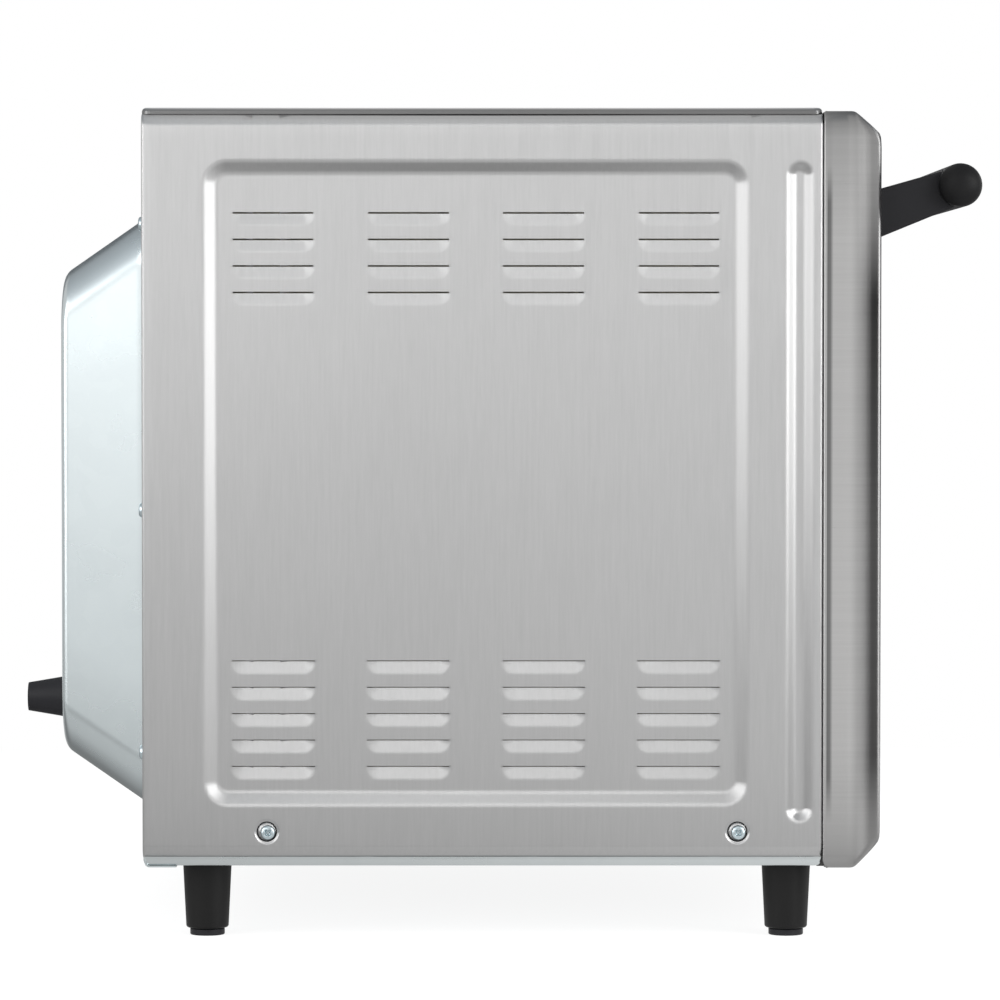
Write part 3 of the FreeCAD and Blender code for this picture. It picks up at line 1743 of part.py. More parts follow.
def thermostat_body():
    rear = place_y(door_front - S.sheet)
    wide = S.thermostat_width / 2
    case = rounded_block(
        (panel_x - wide, panel_x + wide),
        (rear, rear + S.thermostat_length),
        (thermostat_z - wide, thermostat_z + wide),
        S.spindle_radius,
        "y",
    )
    control_body("thermostat_body", thermostat_z, case, S.thermostat_length)


def spindle(name, z):
    front = place_y(door_front) - S.knob_clear - S.knob_bore
    piece(rod("y", (panel_x, front, z), S.spindle_length, S.spindle_radius), name)


def knob(name, z):
    """Skirted knob with a fluted grip, a pointer groove and a blind bore for its spindle."""
    height = S.knob_height
    skirt = S.knob_skirt_height
    body, turn = revolved(name, [
        (0, 0),
        (S.knob_skirt, 0),
        (S.knob_skirt - S.knob_soft, skirt),
        (S.knob_radius, skirt + S.knob_soft),
        (S.knob_radius - S.knob_draft, height - S.knob_edge),
        (S.knob_radius - S.knob_draft - S.knob_edge, height),
        (0, height),
    ])
    place = (panel_x, place_y(door_front) - S.knob_clear, z)
    put(body, *place, Rotation(Vector(1, 0, 0), 90))
    flutes = []
    low = place[1] - height
    for index in range(KNOB_FLUTES):
        angle = 2 * math.pi * (index + 0.5) / KNOB_FLUTES
        x = panel_x + S.knob_radius * math.cos(angle)
        up = z + S.knob_radius * math.sin(angle)
        flutes.append(rod("y", (x, low, up), height - skirt - S.knob_soft,
                          S.knob_flute))
    wide = S.pointer_width / 2
    pointer = block((panel_x - wide, panel_x + wide), (low, low + wide),
                    (z + S.pointer_start, z + S.knob_radius))
    bore = rod("y", (panel_x, place[1] - S.knob_bore, z), S.knob_bore, S.spindle_radius)
    piece(cut(body, bore, fuse(pointer, *flutes)), name)


def indicator_lamps():
    """Two lamps: each a domed lens with a rim, and its barrel behind the panel."""
    front = place_y(door_front)
    lamps = []
    for x in lamp_places():
        dome = round_edges(
            rod("y", (x, front - S.lamp_dome, lamp_z), S.lamp_dome, S.lamp_rim),
            S.lamp_round,
            lambda edge: near(edge.BoundBox.YMax, front - S.lamp_dome),
        )
        barrel = rod("y", (x, front, lamp_z), S.lamp_length, S.lamp_radius)
        lamps.append(fuse(dome, barrel))
    piece(group(*lamps), "indicator_lamps")


def thermostat_bulb():
    """Sensing bulb along the cavity's right wall, held in two clips."""
    x = cavity_right - S.bulb_stand
    z = cavity_high - S.bulb_drop
    start = place_y(S.cavity_rear + S.bulb_rear + S.bulb_length)
    bulb = rod("y", (x, start, z), S.bulb_length, S.bulb_radius)
    clips = []
    for share in CLIP_SHARES:
        y = start + S.bulb_length * share
        clips.append(block((x, cavity_right), (y, y + S.bulb_radius * 2),
                           (z - S.bulb_radius / 2, z + S.bulb_radius / 2)))
    piece(fuse(bulb, *clips), "thermostat_bulb")


def limit_place():
    return (cavity_right + S.sheet, place_y(S.cavity_rear + S.limit_rear), fan_z + S.limit_lift)


def high_limit_cutout():
    piece(rod("x", limit_place(), S.limit_height, S.limit_radius), "high_limit_cutout")


def terminal_block():
    x = (panel_x - S.block_length / 2, panel_x + S.block_length / 2)
    rear = S.rail_foot
    case = block(x, depths(rear, rear + S.block_width), (deck_z, deck_z + S.block_height))
    steps = []
    top = deck_z + S.block_height
    for index in range(TERMINALS):
        middle = x[0] + S.block_length * ((index + 0.5) / TERMINALS)
        steps.append(block((middle - S.terminal_width / 2, middle + S.terminal_width / 2),
                           depths(rear, rear + S.block_width), (top - S.terminal_step, top)))
    piece(cut(case, *steps), "terminal_block")


def check_and_write():
    """Check every object and finished piece, then write one file for each piece."""
    doc.recompute()
    for thing in doc.Objects:
        if {"Invalid", "Error"} & set(thing.State):
            raise RuntimeError(f"{thing.Label} didn't compute")
    for thing in pieces:
        shape = thing.Shape
        if shape.isNull() or not shape.isValid() or not shape.Solids:
            raise RuntimeError(f"{thing.Label} has no valid solid")
    os.makedirs("parts", exist_ok=True)
    for thing in pieces:
        thing.Shape.exportStep(f"parts/{thing.Label}.step")
    print(len(pieces), "pieces")


side_panels()
base_pan()
top_panel()
back_panel()
motor_cover()
base_rails()
side_screws()
rear_screws()
feet()
levelling_inserts()
cord_gland()
cavity_liner()
insulation()
front_frame()
door_gasket()
fan_baffle()
ring_heater()
rack_guides()
wire_racks()
motor_brackets()
motor_core()
motor_coil()
motor_rotor()
motor_shaft()
convection_fan()
fan_nut()
cooling_fan()
door_skin()
door_inner_panel()
door_glass()
handle()
door_screws()
hinge_brackets()
hinge_lugs()
hinge_pins()
control_panel()
timer_body()
spindle("timer_spindle", timer_z)
knob("timer_knob", timer_z)
thermostat_body()
spindle("thermostat_spindle", thermostat_z)
knob("thermostat_knob", thermostat_z)
indicator_lamps()
thermostat_bulb()
high_limit_cutout()
terminal_block()
check_and_write()
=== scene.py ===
import json
import math
from itertools import pairwise

import bmesh
import bpy
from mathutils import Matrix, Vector, noise

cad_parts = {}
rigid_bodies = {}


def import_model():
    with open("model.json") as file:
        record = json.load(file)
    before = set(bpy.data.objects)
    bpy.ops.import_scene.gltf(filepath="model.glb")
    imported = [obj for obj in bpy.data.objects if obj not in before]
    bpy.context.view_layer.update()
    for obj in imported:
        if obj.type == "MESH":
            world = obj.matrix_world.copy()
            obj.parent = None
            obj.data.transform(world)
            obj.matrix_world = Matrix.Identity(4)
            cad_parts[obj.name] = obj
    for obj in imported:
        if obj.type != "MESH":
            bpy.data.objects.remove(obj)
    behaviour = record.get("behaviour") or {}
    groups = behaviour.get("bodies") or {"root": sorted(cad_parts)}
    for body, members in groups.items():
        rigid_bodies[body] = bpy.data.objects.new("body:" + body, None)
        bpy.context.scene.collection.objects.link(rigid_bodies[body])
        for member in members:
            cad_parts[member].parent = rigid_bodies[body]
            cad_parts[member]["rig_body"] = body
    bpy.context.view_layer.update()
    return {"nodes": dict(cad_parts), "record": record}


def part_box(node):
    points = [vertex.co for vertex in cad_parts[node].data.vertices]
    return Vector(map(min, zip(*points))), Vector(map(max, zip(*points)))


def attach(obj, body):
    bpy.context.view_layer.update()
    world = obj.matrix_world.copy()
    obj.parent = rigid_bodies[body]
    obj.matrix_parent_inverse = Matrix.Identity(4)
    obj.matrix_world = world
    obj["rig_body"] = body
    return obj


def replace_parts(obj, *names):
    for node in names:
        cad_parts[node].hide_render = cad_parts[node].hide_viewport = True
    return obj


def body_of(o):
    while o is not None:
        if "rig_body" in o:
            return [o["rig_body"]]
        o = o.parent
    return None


# Electric countertop convection oven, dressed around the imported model. Metres, +Z up, front to -Y.

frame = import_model()
nodes = frame["nodes"]

MM = 0.001
SAME = 0.0001 * MM
SHEET = 0.8 * MM

# Boxes and places that the drawn pieces are set against
body_low, body_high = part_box("side_panel_left")
door_low, door_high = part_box("door_skin")
panel_low, panel_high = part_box("control_panel")
base_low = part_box("base_pan")[0]
back_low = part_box("back_panel")[0]
top_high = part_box("top_panel")[1]
shaft_low, shaft_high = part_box("motor_shaft")
fan_middle = (shaft_low + shaft_high) / 2
body_side = abs(body_low.x)


# Finishes

class Wire:
    """A socket of a node tree whose arithmetic adds Math nodes."""

    def __init__(self, tree, socket):
        self.tree = tree
        self.socket = socket

    def maths(self, operation, *values):
        return self.tree.node("ShaderNodeMath", {"operation": operation},
                              dict(enumerate(values)))

    def __add__(self, other):
        return self.maths("ADD", self, other)

    def __sub__(self, other):
        return self.maths("SUBTRACT", self, other)

    def __rsub__(self, other):
        return self.maths("SUBTRACT", other, self)

    def __mul__(self, other):
        return self.maths("MULTIPLY", self, other)

    def clamped(self):
        return self.maths("MINIMUM", self.maths("MAXIMUM", self, 0.0), 1.0)


class Tree:
    """A node tree, of a material or of the world."""

    def __init__(self, tree):
        self.tree = tree

    def node(self, kind, settings=None, values=None, output=0):
        """A node with its settings made first, then its sockets given values or wires."""
        made = self.tree.nodes.new(kind)
        for name, value in (settings or {}).items():
            setattr(made, name, value)
        for socket, value in (values or {}).items():
            self.feed(made.inputs[socket], value)
        return Wire(self, made.outputs[output])

    def feed(self, socket, value):
        if isinstance(value, Wire):
            self.tree.links.new(value.socket, socket)
        else:
            socket.default_value = value

    def ramp(self, factor, *stops):
        """A colour that runs through stops of place and colour; a bare level is a grey."""
        made = self.node("ShaderNodeValToRGB", values={0: factor})
        elements = made.socket.node.color_ramp.elements
        while len(elements) < len(stops):
            elements.new(0.5)
        for element, (place, colour) in zip(elements, stops):
            element.position = place
            element.color = colour if isinstance(colour, tuple) else grey(colour)
        return made

    def blend(self, amount, low, high):
        """A colour between two others; the node itself holds the amount within 0 and 1."""
        return self.node("ShaderNodeMix", {"data_type": "RGBA"}, {0: amount, 6: low, 7: high},
                         output=2)


class Finish(Tree):
    """A material and the surface finish it gives."""

    def __init__(self, name, **shader):
        self.material = bpy.data.materials.new(name)
        self.material.use_nodes = True
        super().__init__(self.material.node_tree)
        self.shader = self.tree.nodes["Principled BSDF"]
        self.set(**shader)

    def set(self, **values):
        """Sockets of the Principled shader, with their spaces written as underscores."""
        for name, value in values.items():
            self.feed(self.shader.inputs[name.replace("_", " ")], value)

    def place(self, scale=1):
        """The point on the surface in the part's own metres, times one scale or three."""
        point = self.node("ShaderNodeTexCoord", output="Object")
        scale = scale if isinstance(scale, tuple) else (scale,) * 3
        return self.node("ShaderNodeVectorMath", {"operation": "MULTIPLY"}, {0: point, 1: scale})

    def axis(self, name):
        """One coordinate of the point on the surface, in metres."""
        return self.node("ShaderNodeSeparateXYZ", values={0: self.place()}, output=name)

    def noise(self, scale, detail=2.0, roughness=0.5):
        return self.node("ShaderNodeTexNoise", values={
            "Vector": self.place(scale), "Scale": 1.0, "Detail": detail, "Roughness": roughness,
        })

    def cells(self, scale, output="Distance"):
        return self.node("ShaderNodeTexVoronoi", values={"Vector": self.place(scale),
                                                         "Scale": 1.0}, output=output)

    def bump(self, height, depth):
        self.set(Normal=self.node("ShaderNodeBump", values={
            "Height": height, "Distance": depth, "Strength": 1.0,
        }))

    def shade(self, amount, colour):
        """Blend the base colour so far toward another."""
        so_far = Wire(self, self.shader.inputs["Base Color"].links[0].from_socket)
        self.set(Base_Color=self.blend(amount, so_far, colour))

    def glow(self, colour, strength=1.0):
        return self.node("ShaderNodeEmission", values={"Color": colour, "Strength": strength})

    def show(self, shader):
        """Let a shader other than the Principled one make the surface."""
        self.feed(self.tree.nodes["Material Output"].inputs["Surface"], shader)


def grey(level, warm=0.0):
    """A grey with a little warmth, or cold where it is below nothing."""
    return (level * (1 + warm), level, level * (1 - warm), 1)


def brushed(name, across, along, level=0.6, warm=0.0, rough=0.3, depth=0.006, turn=0.0,
            spread=0.85):
    """Stainless sheet with fine grain: lines that vary quickly across and slowly along.

    The gloss spreads level across the sheet; with a quarter turn it spreads upright.
    """
    steel = Finish(name, Metallic=1.0, Anisotropic=spread, Anisotropic_Rotation=turn)
    lines = steel.noise(across, detail=3.0, roughness=0.65)
    streaks = steel.noise(along, detail=2.0)
    cloud = steel.noise((7, 7, 5), detail=3.0)
    grain = (lines - 0.5) * 0.55 + (streaks - 0.5) * 0.55 + 0.5
    tone = grain + (cloud - 0.5) * 0.35
    steel.set(Base_Color=steel.blend(tone, grey(level * 0.9, warm), grey(level * 1.09, warm)),
              Roughness=grain * 0.12 + (rough - 0.06))
    steel.bump(grain, depth * MM)
    return steel


def side_steel():
    """Upright grain, as on the pressed side panels."""
    return brushed("upright_brushed_steel", (1500, 1500, 90), (700, 700, 30), level=0.46,
                   rough=0.36)


# Band, start and tone of the painted shade on the drawn fronts
PAINTED_SHADE_BAND = 4 * MM
PAINTED_SHADE_FROM = 3 * MM
PAINTED_SHADE_TONE = grey(0.1)


def front_steel():
    """Level grain, wrapped round the door and the control panel.

    It has painted shade at its top and foot and along the rear hem.
    """
    steel = brushed("level_brushed_steel", (30, 30, 1700), (9, 9, 800), level=0.53, warm=0.008,
                    rough=0.3, depth=0.003, turn=0.25)
    height = (steel.axis("Z") - door_low.z) * (1 / (door_high.z - door_low.z))
    # Painted shade: darker toward the top and the foot
    steel.shade(steel.ramp(height, (0.0, 0.6), (0.03, 0.35), (0.07, 0.18), (0.16, 0.0),
                           (0.84, 0.0), (0.92, 0.14), (0.965, 0.24), (1.0, 0.75)), PAINTED_SHADE_TONE)
    # Painted shade along the rear hem, over the middle of the height
    behind = (steel.axis("Y") - (door_high.y - PAINTED_SHADE_FROM)) * (1 / PAINTED_SHADE_BAND)
    across = steel.ramp(behind, (0.25, 0.0), (0.6, 0.75), (0.97, 0.8), (1.0, 0.1))
    upright = steel.ramp(height, (0.06, 0.0), (0.12, 1.0), (0.88, 1.0), (0.93, 0.1))
    steel.shade(across * upright, PAINTED_SHADE_TONE)
    return steel


# Where the painted shade on the top's rolled edge begins and how fast it fades in
PAINTED_EDGE_SHADE_FROM = 0.5 * MM
PAINTED_EDGE_SHADE_FADE = 0.4 * MM


def top_steel():
    """Grain along the depth, with painted shade on the rolled edge below the face."""
    steel = brushed("top_brushed_steel", (1600, 40, 1600), (700, 12, 700), level=0.56,
                    rough=0.36, spread=0.0)
    # Painted shade: the rolled edge below the top face is darkened
    under = (top_high.z - PAINTED_EDGE_SHADE_FROM - steel.axis("Z")) * (1 / PAINTED_EDGE_SHADE_FADE)
    steel.shade(under, grey(0.2))
    return steel


def zinc_coat(name, low, high):
    """Galvanised sheet with its faint crystal patches."""
    zinc = Finish(name, Metallic=1.0)
    patches = zinc.node("ShaderNodeSeparateColor", values={
        0: zinc.cells(110, output="Color")}, output="Red")
    cloud = zinc.noise(26, detail=4.0)
    fine = zinc.noise(900, detail=2.0)
    tone = patches * 0.2 + cloud * 0.6 + fine * 0.2
    zinc.set(Base_Color=zinc.blend(tone, low, high), Roughness=cloud * 0.08 + 0.24)
    zinc.bump(cloud * 0.7 + fine * 0.3, 0.004 * MM)
    return zinc


def cavity_metal():
    """Satin stainless of the cavity, a little blued and stained by heat."""
    metal = Finish("heat_tinted_steel", Metallic=1.0)
    lines = metal.noise((1200, 30, 30), detail=3.0)
    stain = metal.noise(14, detail=5.0, roughness=0.6)
    tint = metal.ramp(stain, (0.3, (0.5, 0.5, 0.5, 1)), (0.55, (0.5, 0.475, 0.43, 1)),
                      (0.75, (0.38, 0.33, 0.28, 1)))
    metal.set(Base_Color=metal.blend(lines * 0.3, tint, (0.62, 0.62, 0.61, 1)),
              Roughness=stain * 0.2 + 0.26)
    metal.bump(lines, 0.006 * MM)
    return metal


def textured(name, low, high, noises, mix=(1,), rough=(), base=0.5, relief=(1,), depth=0.0,
             **shader):
    """Two colours mixed by noises, which also vary the gloss and the relief.

    Each noise has its scale, detail and roughness; mix, rough and relief weigh the noises.
    """
    finish = Finish(name, **shader)
    made = [finish.noise(*settings) for settings in noises]

    def weighed(shares):
        parts = [wire if share == 1 else wire * share
                 for wire, share in zip(made, shares) if share]
        return sum(parts[1:], parts[0])

    finish.set(Base_Color=finish.blend(weighed(mix), low, high),
               Roughness=weighed(rough) + base if rough else base)
    if depth:
        finish.bump(weighed(relief), depth * MM)
    return finish


def plated(name, low, high, rough):
    """Bright plated metal with fine wear."""
    return textured(name, low, high, [(300, 5.0, 0.6), (40,)], mix=(0.6, 0.4), rough=(0.14,),
                    base=rough, depth=0.003, Metallic=1.0)


def moulded(name, low, high, rough, gloss=0.22):
    """Moulded plastic or rubber with a fine eroded skin."""
    return textured(name, low, high, [(1400, 3.0, 0.6), (35, 3.0)], mix=(0.3, 0.7),
                    rough=(0.12, 0.08), base=rough, depth=0.02, Specular_IOR_Level=gloss)


def wound_copper():
    """Enamelled winding: round turns side by side."""
    copper = textured("enamelled_winding", (0.36, 0.11, 0.045, 1), (0.62, 0.24, 0.1, 1),
                      [(220, 3.0)], rough=(0.2,), base=0.22, Metallic=0.9, Coat_Weight=0.4)
    turns = copper.node("ShaderNodeMath", {"operation": "SINE"}, {0: copper.axis("X") * 12000})
    copper.bump(turns, 0.25 * MM)
    return copper


def braided_seal():
    """Woven glass-fibre sleeve of the door seal."""
    seal = textured("braided_seal", (0.045, 0.045, 0.047, 1), (0.12, 0.115, 0.11, 1),
                    [(50, 4.0)], base=0.85)
    seal.bump(seal.cells(700), 0.15 * MM)
    return seal


def pane(name, colour, rough):
    """Glass, whose faint wipe marks only change its gloss."""
    glass = Finish(name, Base_Color=colour, Transmission_Weight=1.0, IOR=1.5)
    wipe = glass.noise((9, 30, 14), detail=4.0)
    glass.set(Roughness=wipe * 0.04 + rough)
    return glass


# Meshes

def placed(name, data):
    """An object in the scene that holds a mesh, a lamp or the like."""
    made = bpy.data.objects.new(name, data)
    bpy.context.scene.collection.objects.link(made)
    return made


def dressed(name, mesh, slot, finish=None, body="cabinet"):
    """A piece that rides on a body, in the finish of its slot or in another."""
    mesh.materials.clear()
    mesh.materials.append(FINISHES[finish or slot].material)
    piece = placed(name, mesh)
    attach(piece, body)
    return piece


def mesh_piece(name, points, faces, slot, finish=None, body="cabinet"):
    """A smooth-shaded piece of a new mesh."""
    mesh = bpy.data.meshes.new(name)
    mesh.from_pydata([tuple(point) for point in points], [], faces)
    mesh.shade_smooth()
    return dressed(name, mesh, slot, finish, body)


def walled(piece, thickness=SHEET):
    """Give a surface its sheet thickness, inward from the face that is modelled."""
    wall = piece.modifiers.new("sheet", "SOLIDIFY")
    wall.thickness = thickness
    wall.offset = -1
    wall.use_even_offset = True
    return piece


def baked(piece, degrees=40):
    """Make a piece's modifiers part of its mesh and keep the sharp edges."""
    graph = bpy.context.evaluated_depsgraph_get()
    made = bpy.data.meshes.new_from_object(piece.evaluated_get(graph))
    piece.modifiers.clear()
    piece.data = made
    return creased(piece, degrees)


def creased(piece, degrees=35):
    """Keep the sharp edges of a smooth-shaded piece."""
    piece.data.set_sharp_from_angle(angle=math.radians(degrees))
    return piece


def bridged(rings, closed=True, back=False):
    """Quads between rings of equally many points; back turns the faces over."""
    count = len(rings[0])
    points = [point for ring in rings for point in ring]
    faces = []
    for row in range(len(rings) - 1):
        for index in range(count if closed else count - 1):
            following = (index + 1) % count
            a, b = row * count + index, row * count + following
            quad = (a, b, b + count, a + count)
            faces.append(quad[::-1] if back else quad)
    return points, faces


def add_rings(points, faces, rings, closed=True, back=False):
    """Append the points of rings and the quads between them; says where they begin."""
    first = len(points)
    ring_points, ring_faces = bridged(rings, closed, back)
    points += ring_points
    faces += [tuple(first + index for index in face) for face in ring_faces]
    return first


FINE = 0.6 * MM
COARSE = 6 * MM


def lines_between(low, high, fine_spans):
    """Grid lines from low to high, close together inside the spans that carry a form."""
    spans = []
    for start, end in sorted(fine_spans):
        if spans and start <= spans[-1][1]:
            spans[-1] = (spans[-1][0], max(spans[-1][1], end))
        else:
            spans.append((start, end))
    marks = [(low, None)]
    for start, end in spans:
        marks += [(start, COARSE), (end, FINE)]
    marks.append((high, COARSE))
    lines = [low]
    for (start, _), (end, step) in pairwise(marks):
        count = max(1, math.ceil((end - start) / step))
        lines += [start + (end - start) * (index + 1) / count for index in range(count)]
    return lines


def soft_ramp(share, ease=0.18):
    """0 to 1 in a straight line, with its two corners eased."""
    def total(value):
        held = min(max(value, 0.0), 1.0)
        return held * held / 2 + max(value - 1.0, 0.0)
    return (total(share + ease) - total(share - ease)) / (2 * ease)


def quarter(steps):
    """Sine and cosine at each step of a quarter turn."""
    angles = [math.pi / 2 * index / steps for index in range(steps + 1)]
    return [(math.sin(angle), math.cos(angle)) for angle in angles]


def round_fall(radius, into):
    """How far a round edge has fallen back at a distance into it."""
    return radius - math.sqrt(max(radius ** 2 - into ** 2, 0))


def rounded_outline(low_u, high_u, low_v, high_v, radius, arc=8, side=6):
    """Points round a rectangle with round corners, always the same number."""
    points = []
    centres = [(high_u - radius, high_v - radius), (low_u + radius, high_v - radius),
               (low_u + radius, low_v + radius), (high_u - radius, low_v + radius)]
    for corner, (u, v) in enumerate(centres):
        for index in range(arc + 1):
            angle = math.pi / 2 * (corner + index / arc)
            points.append((u + radius * math.cos(angle), v + radius * math.sin(angle)))
        start = points[-1]
        next_u, next_v = centres[(corner + 1) % 4]
        angle = math.pi / 2 * (corner + 1)
        end = (next_u + radius * math.cos(angle), next_v + radius * math.sin(angle))
        for index in range(1, side):
            share = index / side
            points.append((start[0] + (end[0] - start[0]) * share,
                           start[1] + (end[1] - start[1]) * share))
    return points


def inset_outline(low, high, inset, radius, **steps):
    """Round-cornered outline a distance inside the front of a box."""
    return rounded_outline(low.x + inset, high.x - inset, low.z + inset, high.z - inset, radius,
                           **steps)


# Pressed side panels

FLANGE = 12 * MM
BEND_TURN = 6
EASE = 1.6 * MM
BENDS ={"rear": 1.6 * MM, "front": 1.3 * MM, "level": 6.2 * MM}
PRESS = 3 * MM
FIELD = {"rear": 29.8 * MM, "front": 35.6 * MM, "low": 25.9 * MM, "high": 22.4 * MM}
FIELD_BAND = 6 * MM
FIELD_CORNER = 11.5 * MM
BEAD_FRONT = 10.9 * MM
BEAD_HALF = 6.2 * MM
BEAD_FLAT = 2.1 * MM
BEAD_LOW = 18 * MM
BEAD_HIGH = 23 * MM
LOUVRE_LENGTH = 41.4 * MM
LOUVRE_TALL = 6.2 * MM
LOUVRE_SINK = 1.05 * MM
LOUVRE_MARGIN = 12.5 * MM
LOUVRE_STEP = 12.7 * MM
LOUVRE_HIGH = 24.5 * MM
LOUVRE_LOW = 18.6 * MM
LOUVRE_COLUMNS = 4
LOUVRES_HIGH = 4
LOUVRES_LOW = 5
LOUVRE_LINES = 9
SLIT_HIGH = 0.8 * MM
SLIT_LOW = 0.45 * MM
SLIT_FROM = 0.12 * MM
SEAT_RADIUS = 6 * MM
SEAT_SLOPE = 0.8 * MM
SEAT_SINK = 0.5 * MM
SEAT_HALF = 6.7 * MM
SEAT_HOLE = 4.9 * MM
SEAT_RINGS = [(SEAT_RADIUS + 0.3 * MM, 0.0)]
SEAT_RINGS += [(SEAT_RADIUS - SEAT_SLOPE * step * 0.15, SEAT_SINK * soft_ramp(step * 0.15, 0.3))
               for step in range(-2, 8)]
SEAT_RINGS.append((SEAT_HOLE, SEAT_SINK))
SCREW_REAR = 59.8 * MM
SCREW_FRONT = 40.6 * MM
SCREW_LIFT = 13.1 * MM

field_y = (body_low.y + FIELD["front"], body_high.y - FIELD["rear"])
field_z = (body_low.z + FIELD["low"], body_high.z - FIELD["high"])
bead_y = body_low.y + BEAD_FRONT
bead_z = (body_low.z + BEAD_LOW + BEAD_HALF, body_high.z - BEAD_HIGH - BEAD_HALF)
screw_z = body_low.z + SCREW_LIFT
side_screws_y = (body_low.y + SCREW_FRONT, body_high.y - SCREW_REAR)


def louvre_columns():
    reach = LOUVRE_MARGIN + LOUVRE_LENGTH / 2
    first, last = field_y[0] + reach, field_y[1] - reach
    return [first + (last - first) * index / (LOUVRE_COLUMNS - 1)
            for index in range(LOUVRE_COLUMNS)]


def louvre_rows():
    """Height of each row's slits and how wide they stand open, the upper rows wider."""
    upper = [(field_z[1] - LOUVRE_HIGH - LOUVRE_STEP * row, SLIT_HIGH)
             for row in range(LOUVRES_HIGH)]
    lower = [(field_z[0] + LOUVRE_LOW + LOUVRE_STEP * row, SLIT_LOW)
             for row in range(LOUVRES_LOW)]
    return upper + lower


def field_depth(y, z):
    """How far the sunk field is pressed in at a point of the panel."""
    middle_y, middle_z = sum(field_y) / 2, sum(field_z) / 2
    half_y = (field_y[1] - field_y[0]) / 2 - FIELD_CORNER
    half_z = (field_z[1] - field_z[0]) / 2 - FIELD_CORNER
    out_y, out_z = abs(y - middle_y) - half_y, abs(z - middle_z) - half_z
    outside = math.hypot(max(out_y, 0), max(out_z, 0)) + min(max(out_y, out_z), 0)
    return PRESS * soft_ramp((FIELD_CORNER - outside) / FIELD_BAND)


def bead_depth(y, z):
    away = math.hypot(y - bead_y, z - min(max(z, bead_z[0]), bead_z[1]))
    return PRESS * soft_ramp((BEAD_HALF - away) / (BEAD_HALF - BEAD_FLAT), 0.25)


def louvre_depth(y, z):
    """The scoop below a louvre's slit: deepest at the slit, with round tapering ends."""
    straight = LOUVRE_LENGTH / 2 - LOUVRE_TALL
    across = min(abs(y - middle) for middle in louvre_columns())
    if across > LOUVRE_LENGTH / 2:
        return 0
    for top, slit in louvre_rows():
        if slit / 2 < top - z < LOUVRE_TALL:
            away = math.hypot(max(across - straight, 0), top - z - slit)
            return LOUVRE_SINK * soft_ramp(1 - away / (LOUVRE_TALL - slit), 0.16)
    return 0


def pressed_depth(y, z):
    return field_depth(y, z) + bead_depth(y, z) + louvre_depth(y, z)


def slit_open(y, z):
    """Whether the sheet is parted here, where a louvre's lip lies well below its slit."""
    return louvre_depth(y, z) > SLIT_FROM


def over_seat(y, z):
    across = min(abs(y - at) for at in side_screws_y)
    return max(across, abs(z - screw_z)) < SEAT_HALF


def bend(edge, radius, way):
    """Place and inset of the lines round a bend, from the face to the end of the flange."""
    arc = [(edge + way * radius * (1 - sine), radius * (1 - cosine))
           for sine, cosine in quarter(BEND_TURN)[1:-1]]
    return [*arc, (edge, radius), (edge, FLANGE)]


def bent_lines(low, high, bend_low, bend_high, face_lines):
    """Place and inset of each line across a sheet: flange, bend, face, bend, flange."""
    return [*bend(low, bend_low, 1)[::-1], *[(at, 0.0) for at in face_lines],
            *bend(high, bend_high, -1)]


def panel_lines():
    """Columns and rows of a side panel's grid, close together where a form is pressed."""
    reach = FIELD_BAND + FIELD_CORNER
    bead_reach = BEAD_HALF + EASE
    spans_y = [(field_y[0] - EASE, field_y[0] + reach), (field_y[1] - reach, field_y[1] + EASE),
               (bead_y - bead_reach, bead_y + bead_reach)]
    for middle in louvre_columns():
        for end in (-1, 1):
            tip = middle + end * LOUVRE_LENGTH / 2
            spans_y.append(tuple(sorted((tip + end * MM, tip - end * LOUVRE_TALL))))
    spans_y += [(at - SEAT_HALF, at + SEAT_HALF) for at in side_screws_y]
    spans_z = [(screw_z - SEAT_HALF, screw_z + SEAT_HALF),
               (field_z[0] - EASE, field_z[0] + reach), (field_z[1] - reach, field_z[1] + EASE),
               (bead_z[0] - bead_reach, bead_z[0]), (bead_z[1], bead_z[1] + bead_reach)]
    face_y = lines_between(body_low.y + BENDS["front"], body_high.y - BENDS["rear"], spans_y)
    face_z = lines_between(body_low.z + BENDS["level"], body_high.z - BENDS["level"], spans_z)
    for top, slit in louvre_rows():
        face_z = [at for at in face_z if not top - LOUVRE_TALL - MM < at < top + MM]
        face_z += [top + MM, top, top - LOUVRE_TALL - MM]
        face_z += [top - slit - (LOUVRE_TALL - slit) * index / LOUVRE_LINES
                   for index in range(LOUVRE_LINES + 1)]
    face_z += [screw_z - SEAT_HALF, screw_z + SEAT_HALF]
    face_y += [at + way * SEAT_HALF for at in side_screws_y for way in (-1, 1)]
    return (bent_lines(body_low.y, body_high.y, BENDS["front"], BENDS["rear"], sorted(face_y)),
            bent_lines(body_low.z, body_high.z, BENDS["level"], BENDS["level"], sorted(face_z)))


